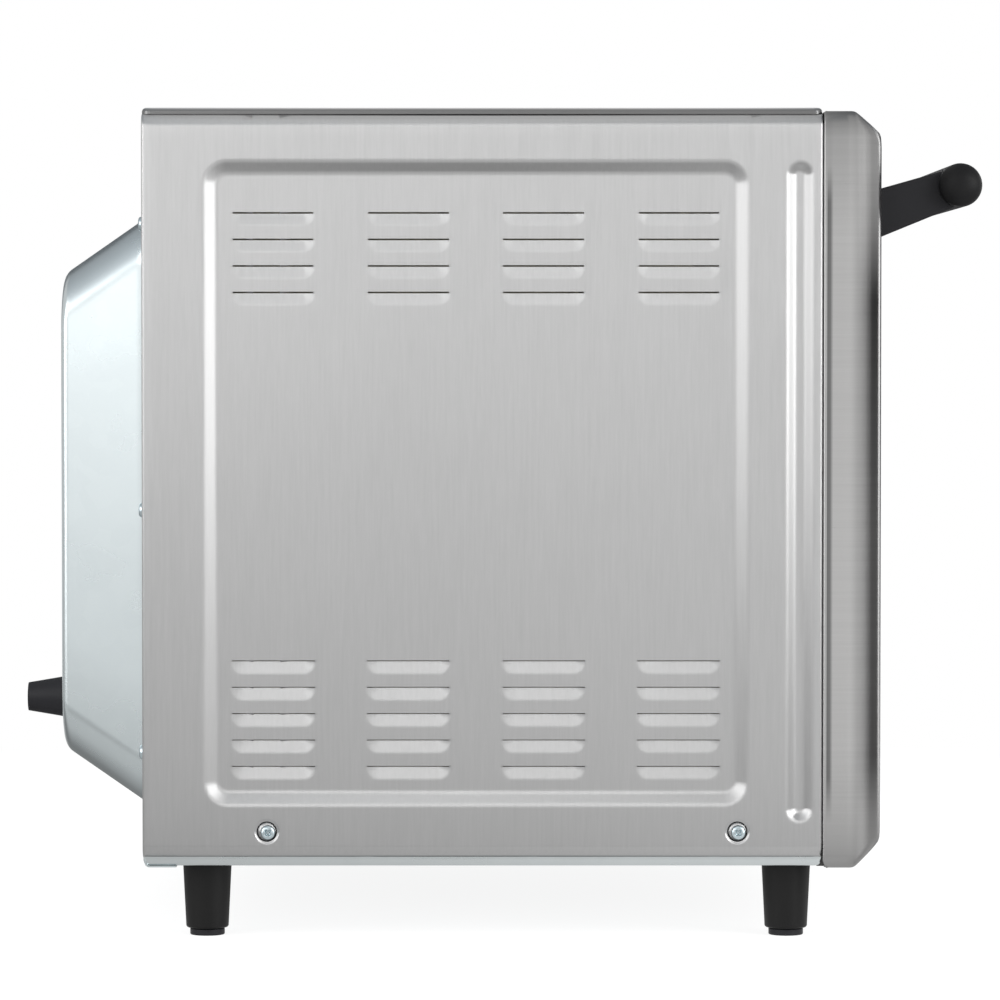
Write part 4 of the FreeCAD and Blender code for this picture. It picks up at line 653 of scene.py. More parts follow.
def side_panel(side, node):
    """A pressed panel with its bends, slits and screw seats."""
    columns, rows = panel_lines()
    points, faces = [], []

    def add_face(*corners):
        faces.append(corners if side > 0 else corners[::-1])

    for z, inset_z in rows:
        for y, inset_y in columns:
            inset = min(inset_y + inset_z, FLANGE) or pressed_depth(y, z)
            points.append((side * (body_side - inset), y, z))
    slit_tops = {top for top, _ in louvre_rows()}
    width = len(columns)
    for row, ((low, low_inset), (high, high_inset)) in enumerate(pairwise(rows)):
        for column, ((near, near_inset), (far, far_inset)) in enumerate(pairwise(columns)):
            middle = (near + far) / 2
            in_corner = FLANGE in (near_inset, far_inset) and FLANGE in (low_inset, high_inset)
            in_slit = high in slit_tops and slit_open(middle, low)
            if not (in_corner or in_slit or over_seat(middle, (low + high) / 2)):
                first = row * width + column
                add_face(first, first + 1, first + width + 1, first + width)
    for at in side_screws_y:
        edge = seat_edge(columns, rows, at)
        rings = []
        for radius, depth in SEAT_RINGS:
            ring = []
            for index in edge:
                _, y, z = points[index]
                share = radius / math.hypot(y - at, z - screw_z)
                ring.append((side * (body_side - depth), at + (y - at) * share,
                             screw_z + (z - screw_z) * share))
            rings.append(ring)
        first = add_rings(points, faces, rings, back=side < 0)
        for index, corner in enumerate(edge):
            following = (index + 1) % len(edge)
            add_face(corner, edge[following], first + following, first + index)
    piece = mesh_piece(f"pressed_{node}", points, faces, "brushed_stainless")
    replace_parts(piece, node)
    return baked(walled(piece))


def seat_edge(columns, rows, at):
    """The panel's own points on the square round a screw's seat, in order."""
    def within(lines, middle):
        return [index for index, (place, inset) in enumerate(lines)
                if abs(place - middle) < SEAT_HALF + SAME and not inset]

    y_lines, z_lines = within(columns, at), within(rows, screw_z)
    around = [(z_lines[0], column) for column in y_lines]
    around += [(row, y_lines[-1]) for row in z_lines[1:]]
    around += [(z_lines[-1], column) for column in y_lines[-2::-1]]
    around += [(row, y_lines[0]) for row in z_lines[-2:0:-1]]
    return [row * len(columns) + column for row, column in around]


# Rolled lips of the base

LIP_INSET = 3 * MM
LIP_WIDE = 1.4 * MM
LIP_CORNER = 2.4 * MM
LIP_SHORT = 0.3 * MM
LIP_BELOW = 0.5 * MM
LIP_STEPS = 60
LIP_TURN = 6


def base_lip():
    """Galvanised lip along each side below the pressed panels, its ends rounded."""
    rear, front = body_high.y - LIP_SHORT, body_low.y + LIP_SHORT
    outside = body_side - LIP_INSET
    top = body_low.z + SHEET
    points, faces = [], []
    for side in (-1, 1):
        rings = []
        for index in range(LIP_STEPS + 1):
            share = (1 - math.cos(math.pi * index / LIP_STEPS)) / 2
            y = rear + (front - rear) * share
            short = max(LIP_CORNER - min(rear - y, y - front), 0)
            foot = base_low.z + round_fall(LIP_CORNER, short)
            rings.append([(side * outside, y, top),
                          *[(side * (outside - LIP_WIDE * (1 - cosine)), y,
                             foot + (top - LIP_BELOW - foot) * (1 - sine))
                            for sine, cosine in quarter(LIP_TURN)]])
        add_rings(points, faces, rings, closed=False, back=side > 0)
    # The lips' darker zinc finish is painted shade below the side panels
    return mesh_piece("rolled_base_lips", points, faces, "galvanised", "lip")


# Drawn fronts of the door and the control panel

SIDE_RADIUS = 15 * MM
EDGE_RADIUS = 4.5 * MM
CHAMFER_DEEP = 13.4 * MM
CHAMFER_TOP = 11 * MM
CHAMFER_LOW = 12.6 * MM
REAR_ROLL = 0.8 * MM
ROLL_TURN = 6
ROLL_UPRIGHT = 0.25
FRONT_TURN = 26
RIDGE = 6 * MM
REAR_REACH = 2.6 * MM
REAR_SIDE = 4.5 * MM
REACH_FROM = 4 * MM
REACH_ACROSS = 0.7
REACH_FOOT_LOSS = 0.35
WINDOW_CORNER = 9 * MM
WINDOW_HEM = ((-1.2 * MM, 0), (-0.35 * MM, 0.1 * MM), (0, 0.5 * MM))
GLASS_LAP = 10 * MM
LUG_WIDTH = 14 * MM
LUG_PLAY = 0.3 * MM


def chamfer_inset(forward, rise):
    """Inset of the chamfered edge at a distance behind the front, with both corners round."""
    slope = math.atan2(rise, CHAMFER_DEEP)
    near = EDGE_RADIUS * math.tan(slope / 2)
    far = EDGE_RADIUS * math.tan((math.pi / 2 - slope) / 2)
    from_start = CHAMFER_DEEP - forward
    if from_start < -near:
        return 0
    if from_start < near * math.cos(slope):
        return round_fall(EDGE_RADIUS, from_start + near)
    if forward > far * math.cos(slope):
        return rise * from_start / CHAMFER_DEEP
    return rise + far - math.sqrt(max(EDGE_RADIUS ** 2 - (EDGE_RADIUS - forward) ** 2, 0))


def drawn_front(name, low, high, node, window=None, reach=0.0):
    """A drawn stainless front: rolled rear edge, chamfered ends, round sides.

    Its rear edge reaches back toward the body, most along its left side, least at its foot.
    """
    deep = high.y - low.y

    def ring(forward, inset=0.0, back=0.0):
        side = round_fall(SIDE_RADIUS, max(SIDE_RADIUS - forward, 0)) + inset
        top = chamfer_inset(forward, CHAMFER_TOP) + inset * ROLL_UPRIGHT
        base = chamfer_inset(forward, CHAMFER_LOW) + inset * ROLL_UPRIGHT
        points = []
        for x, z in rounded_outline(low.x + side, high.x - side, low.z + base, high.z - top,
                                    RIDGE):
            lift = min(1.0, max(0.0, (z - low.z) / REACH_FROM))
            lift = (lift * REACH_ACROSS if x > low.x + REAR_SIDE
                    else 1 - REACH_FOOT_LOSS * (1 - lift))
            points.append((x, low.y + forward + back * lift, z))
        return points

    rings = [ring(deep - REAR_ROLL * (1 - sine), REAR_ROLL * (1 - cosine), reach)
             for sine, cosine in quarter(ROLL_TURN)[::-1]]
    rings.append(ring(deep - 2 * REAR_ROLL))
    rings += [ring((SIDE_RADIUS + 2 * MM) * (1 - sine)) for sine, _ in quarter(FRONT_TURN)]
    if window:
        rings += [[(x, low.y + back, z) for x, z in
                   inset_outline(*window, inset, WINDOW_CORNER - inset)]
                  for inset, back in WINDOW_HEM]
    points, faces = bridged(rings)
    if not window:
        faces.append(tuple(range(len(points) - len(rings[-1]), len(points))))
    piece = mesh_piece(name, points, faces, "brushed_stainless", "front",
                       body_of(nodes[node])[0])
    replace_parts(piece, node)
    return walled(piece)


def carved(piece, boxes):
    """Cut clear boxes out of a piece, after its other modifiers."""
    cutter = bpy.data.meshes.new("cutter")
    shape = bmesh.new()
    for low, high in boxes:
        corners = [shape.verts.new((x, y, z)) for x in (low.x, high.x) for y in (low.y, high.y)
                   for z in (low.z, high.z)]
        for face in ((0, 1, 3, 2), (4, 6, 7, 5), (0, 4, 5, 1), (2, 3, 7, 6), (0, 2, 6, 4),
                     (1, 5, 7, 3)):
            shape.faces.new([corners[index] for index in face])
    shape.to_mesh(cutter)
    shape.free()
    tool = placed("cutter", cutter)
    opening = piece.modifiers.new("opening", "BOOLEAN")
    opening.object = tool
    opening.solver = "EXACT"
    baked(piece)
    bpy.data.objects.remove(tool)
    return piece


def door_front():
    glass_low, glass_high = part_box("door_outer_glass")
    lap = Vector((GLASS_LAP, 0, GLASS_LAP))
    piece = drawn_front("drawn_door_skin", door_low, door_high, "door_skin",
                        (glass_low + lap, glass_high - lap), REAR_REACH)
    lugs_low, lugs_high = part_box("hinge_lugs")
    boxes = [(Vector((x - LUG_PLAY, lugs_low.y - LUG_PLAY, lugs_low.z - MM)),
              Vector((x + LUG_WIDTH + LUG_PLAY, lugs_high.y + MM, lugs_high.z + LUG_PLAY)))
             for x in (lugs_low.x, lugs_high.x - LUG_WIDTH)]
    return carved(piece, boxes)


# Drawn rear cover of the motor

COVER_RIM = 11 * MM
COVER_RISE_LOW = 29.8 * MM
COVER_RISE_HIGH = 30.2 * MM
COVER_DROP = 1.4 * MM
COVER_CORNER = 9 * MM
COVER_PLAN = 25 * MM
RIM_CORNER = 4 * MM
COVER_EDGE = 3.2 * MM
COVER_DRAFT = 0.12
COVER_STRAIGHT = 0.8
COVER_STEPS = 10
COVER_TURN = 14
VENT_DEEP = 4 * MM
VENT_COLUMNS = 3
VENT_ROWS = 9
VENT_LENGTH = 26 * MM
VENT_WIDTH = 3.2 * MM
VENT_STEP = 9 * MM
VENT_PITCH = 36 * MM


def slant_inset(depth, whole, rise):
    """Inset of a slanted end that turns over a round corner into the rear face."""
    slope = rise / whole
    long = math.hypot(1, slope)
    turn_from = whole - COVER_CORNER + COVER_CORNER * slope / long
    if depth < turn_from:
        return slope * depth
    centre = slope * (whole - COVER_CORNER) + COVER_CORNER * long
    across = depth - (whole - COVER_CORNER)
    return centre - math.sqrt(max(COVER_CORNER ** 2 - across ** 2, 0))


def motor_cover():
    """Drawn cover with slanted ends, wide rounded corners and rows of cooling slots."""
    low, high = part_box("motor_cover")
    whole = high.y - low.y

    def ring(depth, outward=0.0):
        on_rim = outward == COVER_RIM
        slanted = 0 if on_rim else depth
        side = (COVER_RIM - outward + COVER_DRAFT * slanted
                + round_fall(COVER_EDGE, max(COVER_EDGE - whole + depth, 0)))
        outline = rounded_outline(
            low.x + side, high.x - side,
            low.z + COVER_RIM - outward + slant_inset(slanted, whole, COVER_RISE_LOW),
            high.z - COVER_RIM + outward - slant_inset(slanted, whole, COVER_RISE_HIGH)
            - (0 if outward else COVER_DROP),
            RIM_CORNER if on_rim else COVER_PLAN, arc=16)
        return [(x, low.y + depth, z) for x, z in outline]

    rings = [ring(SHEET, COVER_RIM), ring(SHEET, 1.5 * MM), ring(SHEET + 0.4 * MM, 0.4 * MM)]
    rings += [ring(whole * COVER_STRAIGHT * index / COVER_STEPS)
              for index in range(1, COVER_STEPS + 1)]
    rings += [ring(whole * (1 - (1 - COVER_STRAIGHT) * (1 - sine)))
              for sine, _ in quarter(COVER_TURN)[1:]]
    points, faces = bridged(rings, back=True)
    faces.append(tuple(range(len(points) - len(rings[-1]), len(points)))[::-1])
    piece = mesh_piece("drawn_motor_cover", points, faces, "galvanised")
    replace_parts(piece, "motor_cover")
    half = Vector((VENT_LENGTH / 2, VENT_DEEP, VENT_WIDTH / 2))
    vents = [Vector((fan_middle.x + VENT_PITCH * (column - (VENT_COLUMNS - 1) / 2), high.y,
                     fan_middle.z + VENT_STEP * (row - (VENT_ROWS - 1) / 2)))
             for column in range(VENT_COLUMNS) for row in range(VENT_ROWS)]
    return carved(walled(piece), [(vent - half, vent + half) for vent in vents])


# Screws

HEAD_RADIUS = 3.6 * MM
HEAD_TALL = 1.8 * MM
HEAD_ASIDE = 0.5 * MM
HEAD_STEPS = 14
LOW_HEAD = 0.65
WASHER_RADIUS = 4.35 * MM
WASHER_BORE = 1.5 * MM
WASHER_SUNK = 0.9 * MM
WASHER_THICK = 0.3 * MM
PAINTED_SHADE_SUNK = SEAT_SINK + SHEET + 0.1 * MM
CROSS_WIDE = 0.46 * MM
CROSS_LONG = 1.55 * MM
CROSS_DEEP = 1.3 * MM
REAR_SCREW_SHARES = (0.15, 0.47, 0.847)
COVER_SCREW_SHARES = (0.092, 0.5, 0.908)
REAR_SCREW_INSET = 6 * MM
LIP_SCREW_SHARES = (-0.94, 0, 0.94)
LIP_SCREW_SPAN = 214 * MM
TURNS = 48


def head_height(across, up):
    """Height of a domed head over its seat, with its cross recess pressed in."""
    away = min(1.0, math.hypot(across, up) / HEAD_RADIUS)
    dome = HEAD_TALL * (1 - away ** 4) ** 0.5
    slot = min(max(abs(across) / CROSS_WIDE, abs(up) / CROSS_LONG),
               max(abs(up) / CROSS_WIDE, abs(across) / CROSS_LONG))
    return dome - CROSS_DEEP * soft_ramp((1.25 - slot) / 0.5)


def circle(out, radius):
    """Points round a direction, each with its own two coordinates."""
    side = out.orthogonal().normalized()
    other = out.cross(side)
    for index in range(TURNS):
        angle = 2 * math.pi * index / TURNS
        across, up = radius * math.cos(angle), radius * math.sin(angle)
        yield side * across + other * up, across, up


def screw_heads(name, places, node, tall=1.0):
    """Cross-recessed heads at (point, outward) places, in place of a node's."""
    points, faces = [], []
    for centre, out in places:
        rings = [[centre + offset + out * head_height(across, up) * tall
                  for offset, across, up in circle(out, HEAD_RADIUS * step / HEAD_STEPS)]
                 for step in range(1, HEAD_STEPS + 1)]
        first = add_rings(points, faces, rings, back=True)
        points.append(centre + out * head_height(0, 0) * tall)
        crown = len(points) - 1
        faces += [(crown, first + index, first + (index + 1) % TURNS) for index in range(TURNS)]
    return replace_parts(creased(mesh_piece(name, points, faces, "zinc_screws"), 50), node)


def flat_rings(name, places, outer, slot):
    """Thin rings at (point, outward) places."""
    points, faces = [], []
    for centre, out in places:
        rings = [[centre + offset for offset, _, _ in circle(out, radius)]
                 for radius in (WASHER_BORE, outer)]
        add_rings(points, faces, rings, back=True)
    return walled(mesh_piece(name, points, faces, slot), WASHER_THICK)


def side_screw_heads():
    """Washer-head screws sunk in their seats, each a little aside in its hole, with a black ring
    behind each hole as painted shade.
    """
    heads, washers, shades = [], [], []
    for side in (-1, 1):
        out = Vector((side, 0, 0))
        for y in side_screws_y:
            seat = Vector((side * (body_side - WASHER_SUNK), y, screw_z))
            heads.append((seat - Vector((0, HEAD_ASIDE, HEAD_ASIDE)), out))
            washers.append((seat, out))
            shades.append((Vector((side * (body_side - PAINTED_SHADE_SUNK), y, screw_z)), out))
    screw_heads("domed_side_screws", heads, "side_screws")
    flat_rings("screw_washers", washers, WASHER_RADIUS, "brushed_stainless")
    # Black rings behind the seat holes: painted shade inside the holes
    flat_rings("screw_seat_painted_shades", shades, SEAT_HOLE + MM, "black_plastic")


def rear_screw_heads():
    """Heads on the rear flanges, on the cover's rim and under the rear lip."""
    cover_low, cover_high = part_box("motor_cover")
    out = Vector((0, 1, 0))
    heights = [base_low.z + (top_high.z - base_low.z) * share for share in REAR_SCREW_SHARES]
    inner_low, inner_high = cover_low.z + COVER_RIM, cover_high.z - COVER_RIM
    rim_heights = [inner_low + (inner_high - inner_low) * share for share in COVER_SCREW_SHARES]
    places = []
    for side in (-1, 1):
        for x, rows in ((body_side - REAR_SCREW_INSET, heights),
                        (cover_high.x - COVER_RIM / 2, rim_heights)):
            places += [(Vector((side * x, body_high.y, z)), out) for z in rows]
    screw_heads("domed_rear_screws", places, "rear_screws")
    lip = [(Vector((LIP_SCREW_SPAN * share, back_low.y + WASHER_RADIUS, back_low.z)),
            Vector((0, 0, -1))) for share in LIP_SCREW_SHARES]
    screw_heads("domed_lip_screws", lip, "rear_screws", LOW_HEAD)


# Handle ends

END_STEPS = 12
END_FLAT = 0.02


def domed_ends():
    """Ball-like ends of the handle bar."""
    low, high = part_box("handle_end_caps")
    bar_low, bar_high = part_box("handle_bar")
    centre = (low + high) / 2
    radius = (high.z - low.z) / 2
    points, faces = [], []
    for side, seat, tip in ((-1, bar_low.x, low.x), (1, bar_high.x, high.x)):
        rings = []
        for sine, cosine in quarter(END_STEPS):
            across = radius * max(cosine, END_FLAT)
            rings.append([(seat + (tip - seat) * sine,
                           centre.y + across * math.cos(2 * math.pi * turn / TURNS),
                           centre.z + across * math.sin(2 * math.pi * turn / TURNS))
                          for turn in range(TURNS)])
        add_rings(points, faces, rings, back=side < 0)
        crown = tuple(range(len(points) - TURNS, len(points)))
        faces.append(crown if side > 0 else crown[::-1])
    piece = mesh_piece("domed_handle_ends", points, faces, "black_plastic", "handle end", "door")
    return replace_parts(piece, "handle_end_caps")


# Soft pieces

SEAL_WIDE = 7 * MM
SEAL_CORNER = 16 * MM
SEAL_TURNS = 20
BLANKET = 11 * MM
BLANKET_STEPS = 24
WOOL_CORNER = 10 * MM
WOOL_WAVE = 0.6 * MM
MOTOR_HOLE = 53 * MM


def seal():
    """Flattened braided tube between the front frame and the closed door."""
    low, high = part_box("door_gasket")
    rings = []
    for index in range(SEAL_TURNS):
        angle = 2 * math.pi * index / SEAL_TURNS
        across = math.copysign(abs(math.cos(angle)) ** 0.8, math.cos(angle))
        inset = SEAL_WIDE / 2 * (1 - across * 0.98)
        y = (low.y + high.y) / 2 + (high.y - low.y) / 2 * 0.96 * math.sin(angle)
        rings.append([(x, y, z) for x, z in
                      inset_outline(low, high, inset, SEAL_CORNER - inset, side=12)])
    count = SEAL_TURNS * len(rings[0])
    points, faces = bridged(rings + rings[:1])
    faces = [tuple(index % count for index in face) for face in faces]
    piece = mesh_piece("braided_door_seal", points[:count], faces, "gasket_rubber")
    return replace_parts(piece, "door_gasket")


def blanket():
    """Mineral wool wrapped round the cavity, open in front and over the motor."""
    low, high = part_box("insulation")
    thick, middle = BLANKET, fan_middle

    def around(y, inset, corner):
        return [Vector((x, y, z)) for x, z in
                inset_outline(low, high, inset, corner, arc=6, side=26)]

    def round_hole(y, share, inset):
        ring = []
        for point in around(y, inset, WOOL_CORNER):
            offset = Vector((point.x - middle.x, 0, point.z - middle.z))
            hole = Vector((middle.x, y, middle.z)) + offset.normalized() * MOTOR_HOLE
            ring.append(point.lerp(hole, share))
        return ring

    shares = [index / BLANKET_STEPS for index in range(BLANKET_STEPS + 1)]
    front, rear = low.y + MM, high.y - MM
    rings = [around(rear - thick + (front - rear + thick) * share, thick - MM, WOOL_CORNER)
             for share in shares]
    rings += [around(front + (rear - front) * share, MM, WOOL_CORNER - 2 * MM)
              for share in shares]
    rings += [round_hole(rear, share, MM) for share in (0.25, 0.5, 0.75, 1.0)]
    rings += [round_hole(rear - thick + MM, share, thick - MM)
              for share in (1.0, 0.75, 0.5, 0.25, 0.0)]
    points, faces = bridged(rings)
    moved = []
    for point in points:
        wave = noise.noise(point * 55) + 0.5 * noise.noise(point * 160)
        centre = Vector((middle.x, point.y, middle.z))
        moved.append(point + (point - centre).normalized() * wave * WOOL_WAVE)
    piece = mesh_piece("mineral_wool_blanket", moved, faces, "mineral_wool")
    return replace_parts(piece, "insulation")


# Dial marks

TICK_FROM = 26.5 * MM
TICK_TO = 29.5 * MM
TICK_WIDE = 0.5 * MM
NUMBER_AT = 33.5 * MM
NUMBER_SIZE = 5.2 * MM
INK_LIFT = 0.06 * MM


def dial(knob, span, steps, words):
    """Ticks and numbers round a knob, the first straight above it."""
    low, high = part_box(knob)
    centre = (low + high) / 2
    centre.y = panel_low.y - INK_LIFT

    def outward(share):
        angle = math.radians(span) * share
        return Vector((math.sin(angle), 0, math.cos(angle)))

    points, faces = [], []
    for index in range(steps + 1):
        out = outward(index / steps)
        side = Vector((out.z, 0, -out.x)) * TICK_WIDE / 2
        first = len(points)
        for reach in (TICK_FROM, TICK_TO):
            points += [centre + out * reach - side, centre + out * reach + side]
        faces.append((first, first + 1, first + 3, first + 2))
    mesh_piece(f"{knob}_marks", points, faces, "black_plastic", "ink")
    for index, word in enumerate(words):
        name = f"{knob}_number_{index}"
        curve = bpy.data.curves.new(name, "FONT")
        curve.body = word
        curve.size = NUMBER_SIZE
        curve.align_x = curve.align_y = "CENTER"
        text = placed(name, curve)
        text.location = centre + outward(index / (len(words) - 1)) * NUMBER_AT
        text.rotation_euler = (math.pi / 2, 0, 0)
        bpy.context.view_layer.update()
        mesh = bpy.data.meshes.new_from_object(text)
        mesh.transform(text.matrix_world)
        bpy.data.objects.remove(text)
        dressed(name, mesh, "black_plastic", "ink")


# A finish for each slot of the record, then those of single pieces

FINISHES = {
    "brushed_stainless": side_steel(),
    "galvanised": zinc_coat("zinc_coated_sheet", (0.59, 0.645, 0.66, 1), (0.66, 0.715, 0.725, 1)),
    "cavity_steel": cavity_metal(),
    "dark_steel": textured("blackened_steel", (0.05, 0.05, 0.055, 1), (0.16, 0.155, 0.15, 1),
                           [(90, 6.0, 0.6)], rough=(0.25,), base=0.4, depth=0.02, Metallic=0.85),
    "zinc_screws": plated("zinc_plated_screws", (0.48, 0.56, 0.59, 1), (0.58, 0.66, 0.69, 1),
                          0.22),
    "chrome_wire": plated("chromed_wire", (0.6, 0.6, 0.61, 1), (0.74, 0.74, 0.75, 1), 0.1),
    "fan_aluminium": plated("pressed_aluminium", (0.5, 0.5, 0.5, 1), (0.68, 0.68, 0.67, 1), 0.32),
    "motor_iron": textured("motor_laminations", (0.13, 0.13, 0.135, 1), (0.34, 0.335, 0.33, 1),
                           [((30, 2600, 30), 1.0), (70, 5.0)], mix=(0.5, 0.5), rough=(0, 0.2),
                           base=0.35, depth=0.05, Metallic=0.9),
    "copper_winding": wound_copper(),
    "bulb_copper": plated("drawn_copper", (0.45, 0.2, 0.12, 1), (0.68, 0.36, 0.24, 1), 0.25),
    "black_plastic": moulded("black_moulding", (0.012, 0.012, 0.014, 1),
                             (0.024, 0.024, 0.028, 1), 0.36),
    "grey_plastic": moulded("grey_moulding", (0.24, 0.24, 0.25, 1), (0.36, 0.36, 0.37, 1), 0.4),
    "gasket_rubber": braided_seal(),
    "mineral_wool": textured("mineral_wool", (0.42, 0.38, 0.24, 1), (0.72, 0.68, 0.5, 1),
                             [((900, 300, 500), 6.0, 0.7), (120, 4.0)], mix=(0.5, 0.5),
                             base=0.95, relief=(0.6, 0.4), depth=0.6, Sheen_Weight=0.3),
    "dark_glass": pane("dark_oven_glass", (0.16, 0.165, 0.17, 1), 0.02),
    "clear_glass": pane("clear_oven_glass", (0.86, 0.9, 0.88, 1), 0.02),
    "amber_lens": textured("ribbed_amber_lens", (0.62, 0.19, 0.02, 1), (0.85, 0.36, 0.05, 1),
                           [((900, 60, 60), 1.0)], rough=(0.1,), base=0.12, depth=0.15,
                           Transmission_Weight=0.6, IOR=1.49),
    "front": front_steel(),
    "top": top_steel(),
    # A darker copy of the galvanised sheet for the base lips: painted shade
    "lip": zinc_coat("painted_shade_zinc_lip", (0.55, 0.585, 0.59, 1), (0.62, 0.655, 0.66, 1)),
    "heater": textured("oxidised_heater_sheath", (0.06, 0.055, 0.05, 1), (0.2, 0.155, 0.12, 1),
                       [(60, 6.0, 0.65)], rough=(0.2,), base=0.45, depth=0.03, Metallic=0.7),
    "handle": moulded("black_handle_moulding", (0.0105, 0.0105, 0.012, 1),
                      (0.018, 0.018, 0.0205, 1), 0.56),
    # A darker copy of the handle's black moulding for its domed ends: painted shade
    "handle end": moulded("shaded_black_handle_end", (0.004, 0.004, 0.0045, 1),
                          (0.009, 0.009, 0.0095, 1), 0.4, gloss=0.17),
    "foot": moulded("black_rubber_foot", (0.004, 0.004, 0.004, 1), (0.01, 0.01, 0.01, 1), 0.34),
    "ink": textured("printed_dial_ink", (0.015, 0.015, 0.016, 1), (0.04, 0.04, 0.042, 1),
                    [(1500,)], rough=(0.2,), base=0.5, Specular_IOR_Level=0.3),
}

NODE_FINISH = {"top_panel": "top", "ring_heater": "heater", "handle_end_caps": "handle end"}
NODE_FINISH |= dict.fromkeys(("handle_bar", "handle_arm_left", "handle_arm_right"), "handle")
NODE_FINISH |= {f"foot_{end}_{side}": "foot"
                for end in ("front", "rear") for side in ("left", "right")}

for part in frame["record"]["subparts"]:
    dress = nodes[part["node"]].data.materials
    dress.clear()
    dress.append(FINISHES[NODE_FINISH.get(part["node"], part["material_slot"])].material)

side_panel(-1, "side_panel_left")
side_panel(1, "side_panel_right")
door_front()
motor_cover()
domed_ends()
drawn_front("drawn_control_panel", panel_low, panel_high, "control_panel")
base_lip()
side_screw_heads()
rear_screw_heads()
seal()
blanket()
dial("timer_knob", 300, 60, ("0", "10", "20", "30", "40", "50", "60"))
dial("thermostat_knob", 270, 27, ("0", "50", "100", "150", "200", "250"))


# Camera, floor and light

# The photograph is taken nearly square to the oven's left side, from a little above its
# middle; its frame is 479 mm across at that side.
VIEW_DISTANCE = 2.4
VIEW_WIDTH = 0.479
VIEW_HEIGHT = 0.288
FRAME_CENTRE_Y = -0.0005
FRAME_CENTRE_Z = 0.2116


def aimed(thing, place, aim):
    """Put a camera or a lamp at a place and turn it toward another."""
    thing.location = place
    thing.rotation_euler = (Vector(aim) - Vector(place)).to_track_quat("-Z", "Y").to_euler()


def camera():
    data = bpy.data.cameras.new("camera")
    data.sensor_width = 36
    data.lens = 36 * VIEW_DISTANCE / VIEW_WIDTH
    data.clip_start = 0.05
    data.clip_end = 30
    eye = placed("camera", data)
    aimed(eye, (body_low.x - VIEW_DISTANCE, FRAME_CENTRE_Y, VIEW_HEIGHT),
          (body_low.x, FRAME_CENTRE_Y, FRAME_CENTRE_Z))
    bpy.context.scene.camera = eye


def staged(name, corners, finish, faces=None):
    """A sheet of the studio."""
    mesh = bpy.data.meshes.new(name)
    mesh.from_pydata(corners, [], faces or [tuple(range(len(corners)))])
    sheet = placed(name, mesh)
    mesh.materials.append(finish.material)
    return sheet


FLOOR_REACH = 6.0
FLOOR_TONE = 0.62


def floor():
    """Pale floor that the camera sees as white but for the oven's soft shadow.

    The steel sees it with a darker strip half a metre off the oven, as of a sheet of card.
    """
    pale = Finish("pale_floor", Base_Color=grey(FLOOR_TONE), Roughness=0.9,
                  Specular_IOR_Level=0.0)
    by_camera = pale.node("ShaderNodeLightPath", output="Is Camera Ray")
    by_gloss = pale.node("ShaderNodeLightPath", output="Is Glossy Ray")
    away = pale.node("ShaderNodeVectorMath", {"operation": "LENGTH"}, {0: pale.place()},
                     output="Value")
    far = (away * 1.6 - 0.5).clamped()
    seen = pale.node("ShaderNodeMixShader", values={
        0: by_camera * (far * 0.38 + 0.62), 1: Wire(pale, pale.shader.outputs[0]),
        2: pale.glow(grey(1.0), 1.4 - far * 0.4)})
    aside = pale.node("ShaderNodeMath", {"operation": "ABSOLUTE"}, {0: pale.axis("X")})
    tone = pale.ramp(aside, (0.1, 0.3), (0.22, 0.76), (0.42, 0.82), (0.47, 0.34), (0.56, 0.34),
                     (0.62, 0.86), (1.0, 0.84))
    front = ((0.25 - pale.axis("Y")) * 2.0).clamped()
    mirrored = pale.glow(tone, front * 0.45 + 0.84)
    pale.show(pale.node("ShaderNodeMixShader", values={0: by_gloss, 1: seen, 2: mirrored}))
    staged("floor", [(x * FLOOR_REACH, y * FLOOR_REACH, 0)
                     for x, y in ((-1, -1), (1, -1), (1, 1), (-1, 1))], pale)


def studio_air():
    """Soft light from all round, white to the camera."""
    world = bpy.data.worlds.new("studio")
    bpy.context.scene.world = world
    world.use_nodes = True
    air = Tree(world.node_tree)
    background = air.tree.nodes["Background"]
    toward = air.node("ShaderNodeTexCoord", output="Generated")
    up = air.node("ShaderNodeSeparateXYZ", values={0: toward}, output="Z")
    glow = air.ramp(up * 0.5 + 0.5, (0.0, 0.3), (0.46, 0.78), (0.5, 0.82), (0.53, 0.72),
                    (0.62, 0.79), (0.75, 0.72), (0.84, 0.88), (0.92, 1.0), (0.97, 0.95),
                    (1.0, 0.75))
    seen = air.node("ShaderNodeLightPath", output="Is Camera Ray")
    air.feed(background.inputs["Color"], air.blend(seen, glow, grey(1.0)))
    background.inputs["Strength"].default_value = 1.0


def softbox(name, place, aim, wide, tall, glow):
    """A soft rectangular lamp whose brightness is told as a surface glow."""
    lamp = bpy.data.lights.new(name, "AREA")
    lamp.shape = "RECTANGLE"
    lamp.size = wide
    lamp.size_y = tall
    lamp.energy = glow * math.pi * wide * tall
    box = placed(name, lamp)
    box.visible_camera = False
    aimed(box, place, aim)


def gloss_only(sheet):
    """Hide a sheet of the studio from all but the gloss of the metal."""
    for ray in ("camera", "shadow", "diffuse", "transmission"):
        setattr(sheet, f"visible_{ray}", False)


CARD_NEAR = 14 * MM
CARD_FROM = -40
CARD_TO = 116
CARD_STEPS = 12
CARD_ABOVE = 30 * MM


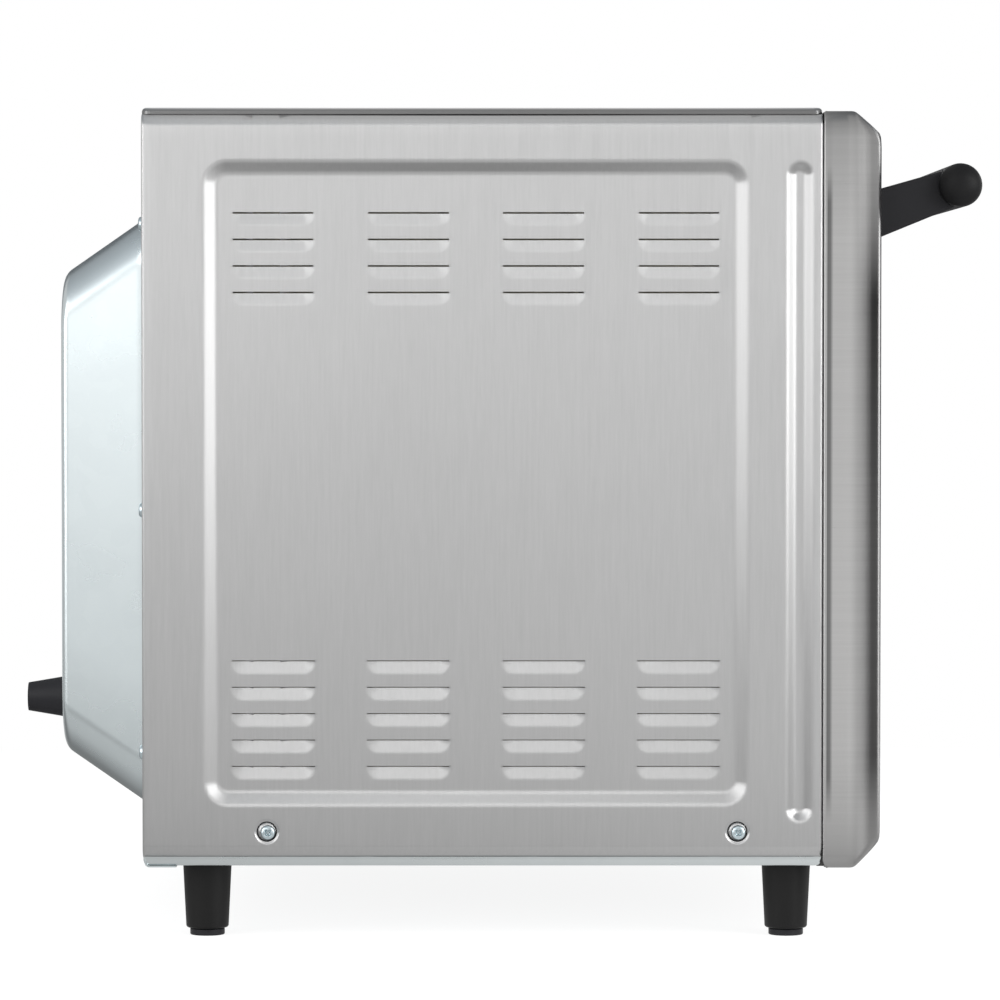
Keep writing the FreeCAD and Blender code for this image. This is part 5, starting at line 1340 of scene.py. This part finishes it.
def graded_card():
    """A narrow card close to the door's edge, darker toward the front and low down.

    Only the gloss of the metal shows it.
    """
    card = Finish("graded_card")
    depth = card.ramp(card.axis("Z"), (0.035, 0.3), (0.085, 0.92), (0.2, 0.9), (0.31, 1.0),
                      (0.345, 0.62), (0.375, 0.35))
    corner = Vector((door_low.x + SIDE_RADIUS / 2, door_low.y + SIDE_RADIUS / 2))
    turned = card.node("ShaderNodeMath", {"operation": "ARCTAN2"}, {
        0: corner.y - card.axis("Y"), 1: corner.x - card.axis("X")})
    share = (turned * math.degrees(1) - CARD_FROM) * (1 / (CARD_TO - CARD_FROM))
    round_corner = card.ramp(share, (0.026, 0.0), (0.18, 0.24), (0.32, 0.6), (0.44, 0.94),
                             (0.55, 1.0))
    card.show(card.glow(card.blend(round_corner * depth, grey(0.88), grey(0.03))))
    angles = [math.radians(CARD_FROM + (CARD_TO - CARD_FROM) * index / CARD_STEPS)
              for index in range(CARD_STEPS + 1)]
    points, faces = bridged([
        [(corner.x - CARD_NEAR * math.cos(angle), corner.y - CARD_NEAR * math.sin(angle), z)
         for angle in angles] for z in (0.0, body_high.z + CARD_ABOVE)], closed=False)
    gloss_only(staged("graded_card", points, card, faces))


FLAG_HIGH = 0.62
FLAG_ASIDE = 0.8
FLAG_WARMTH = -0.05
CLOTH_WARMTH = -0.08


def overhead_flag(name, x_span, y_span, *stops):
    """A grey sheet above, graded from its outer edge inward, that only the gloss shows."""
    cloth = Finish(name)
    place = (cloth.axis("X") - x_span[0]) * (1 / (x_span[1] - x_span[0]))
    cloth.show(cloth.glow(cloth.ramp(place, *[(at, grey(level, FLAG_WARMTH))
                                              for at, level in stops])))
    (left, right), (front, rear) = x_span, y_span
    gloss_only(staged(name, [(left, front, FLAG_HIGH), (left, rear, FLAG_HIGH),
                             (right, rear, FLAG_HIGH), (right, front, FLAG_HIGH)], cloth))


def side_flag(name, y_span, z_span, tone):
    """Dark cloth behind the oven's far side, seen by the gloss alone."""
    cloth = Finish(name, Base_Color=grey(tone, CLOTH_WARMTH), Roughness=1.0,
                   Specular_IOR_Level=0.0)
    (near, far), (base, top) = y_span, z_span
    gloss_only(staged(name, [(FLAG_ASIDE, near, base), (FLAG_ASIDE, far, base),
                             (FLAG_ASIDE, far, top), (FLAG_ASIDE, near, top)], cloth))


camera()
floor()
studio_air()
softbox("left_front_softbox", (-1.35, -1.75, 0.9), (0, 0, 0.25), 1.1, 1.6, 4.6)
softbox("left_rear_softbox", (-1.35, 1.75, 0.9), (0, 0, 0.25), 1.1, 1.6, 2.8)
softbox("cover_softbox", (-2.25, 0.75, 0.85), (-0.19, 0.19, 0.3), 0.55, 1.3, 1.75)
softbox("front_right_softbox", (1.1, -1.7, 0.9), (0, -0.2, 0.25), 0.9, 1.6, 1.0)
softbox("right_softbox", (2.3, -0.2, 1.1), (0, 0, 0.2), 1.4, 1.4, 1.1)
graded_card()
side_flag("door_cloth", (-0.23, -0.9), (0, 0.9), 0.02)
side_flag("cover_cloth", (0.17, 0.9), (0.2, 1.3), 0.12)
overhead_flag("cover_flag", (-0.7, 0.2), (0.175, 0.65),
              (0.0, 0.88), (0.3, 0.68), (0.55, 0.58), (1.0, 0.34))
overhead_flag("door_flag", (-0.55, 1.0), (-0.7, -0.163),
              (0.0, 0.62), (0.1, 0.5), (0.42, 0.3), (1.0, 0.22))

bpy.context.scene.view_settings.view_transform = "Standard"
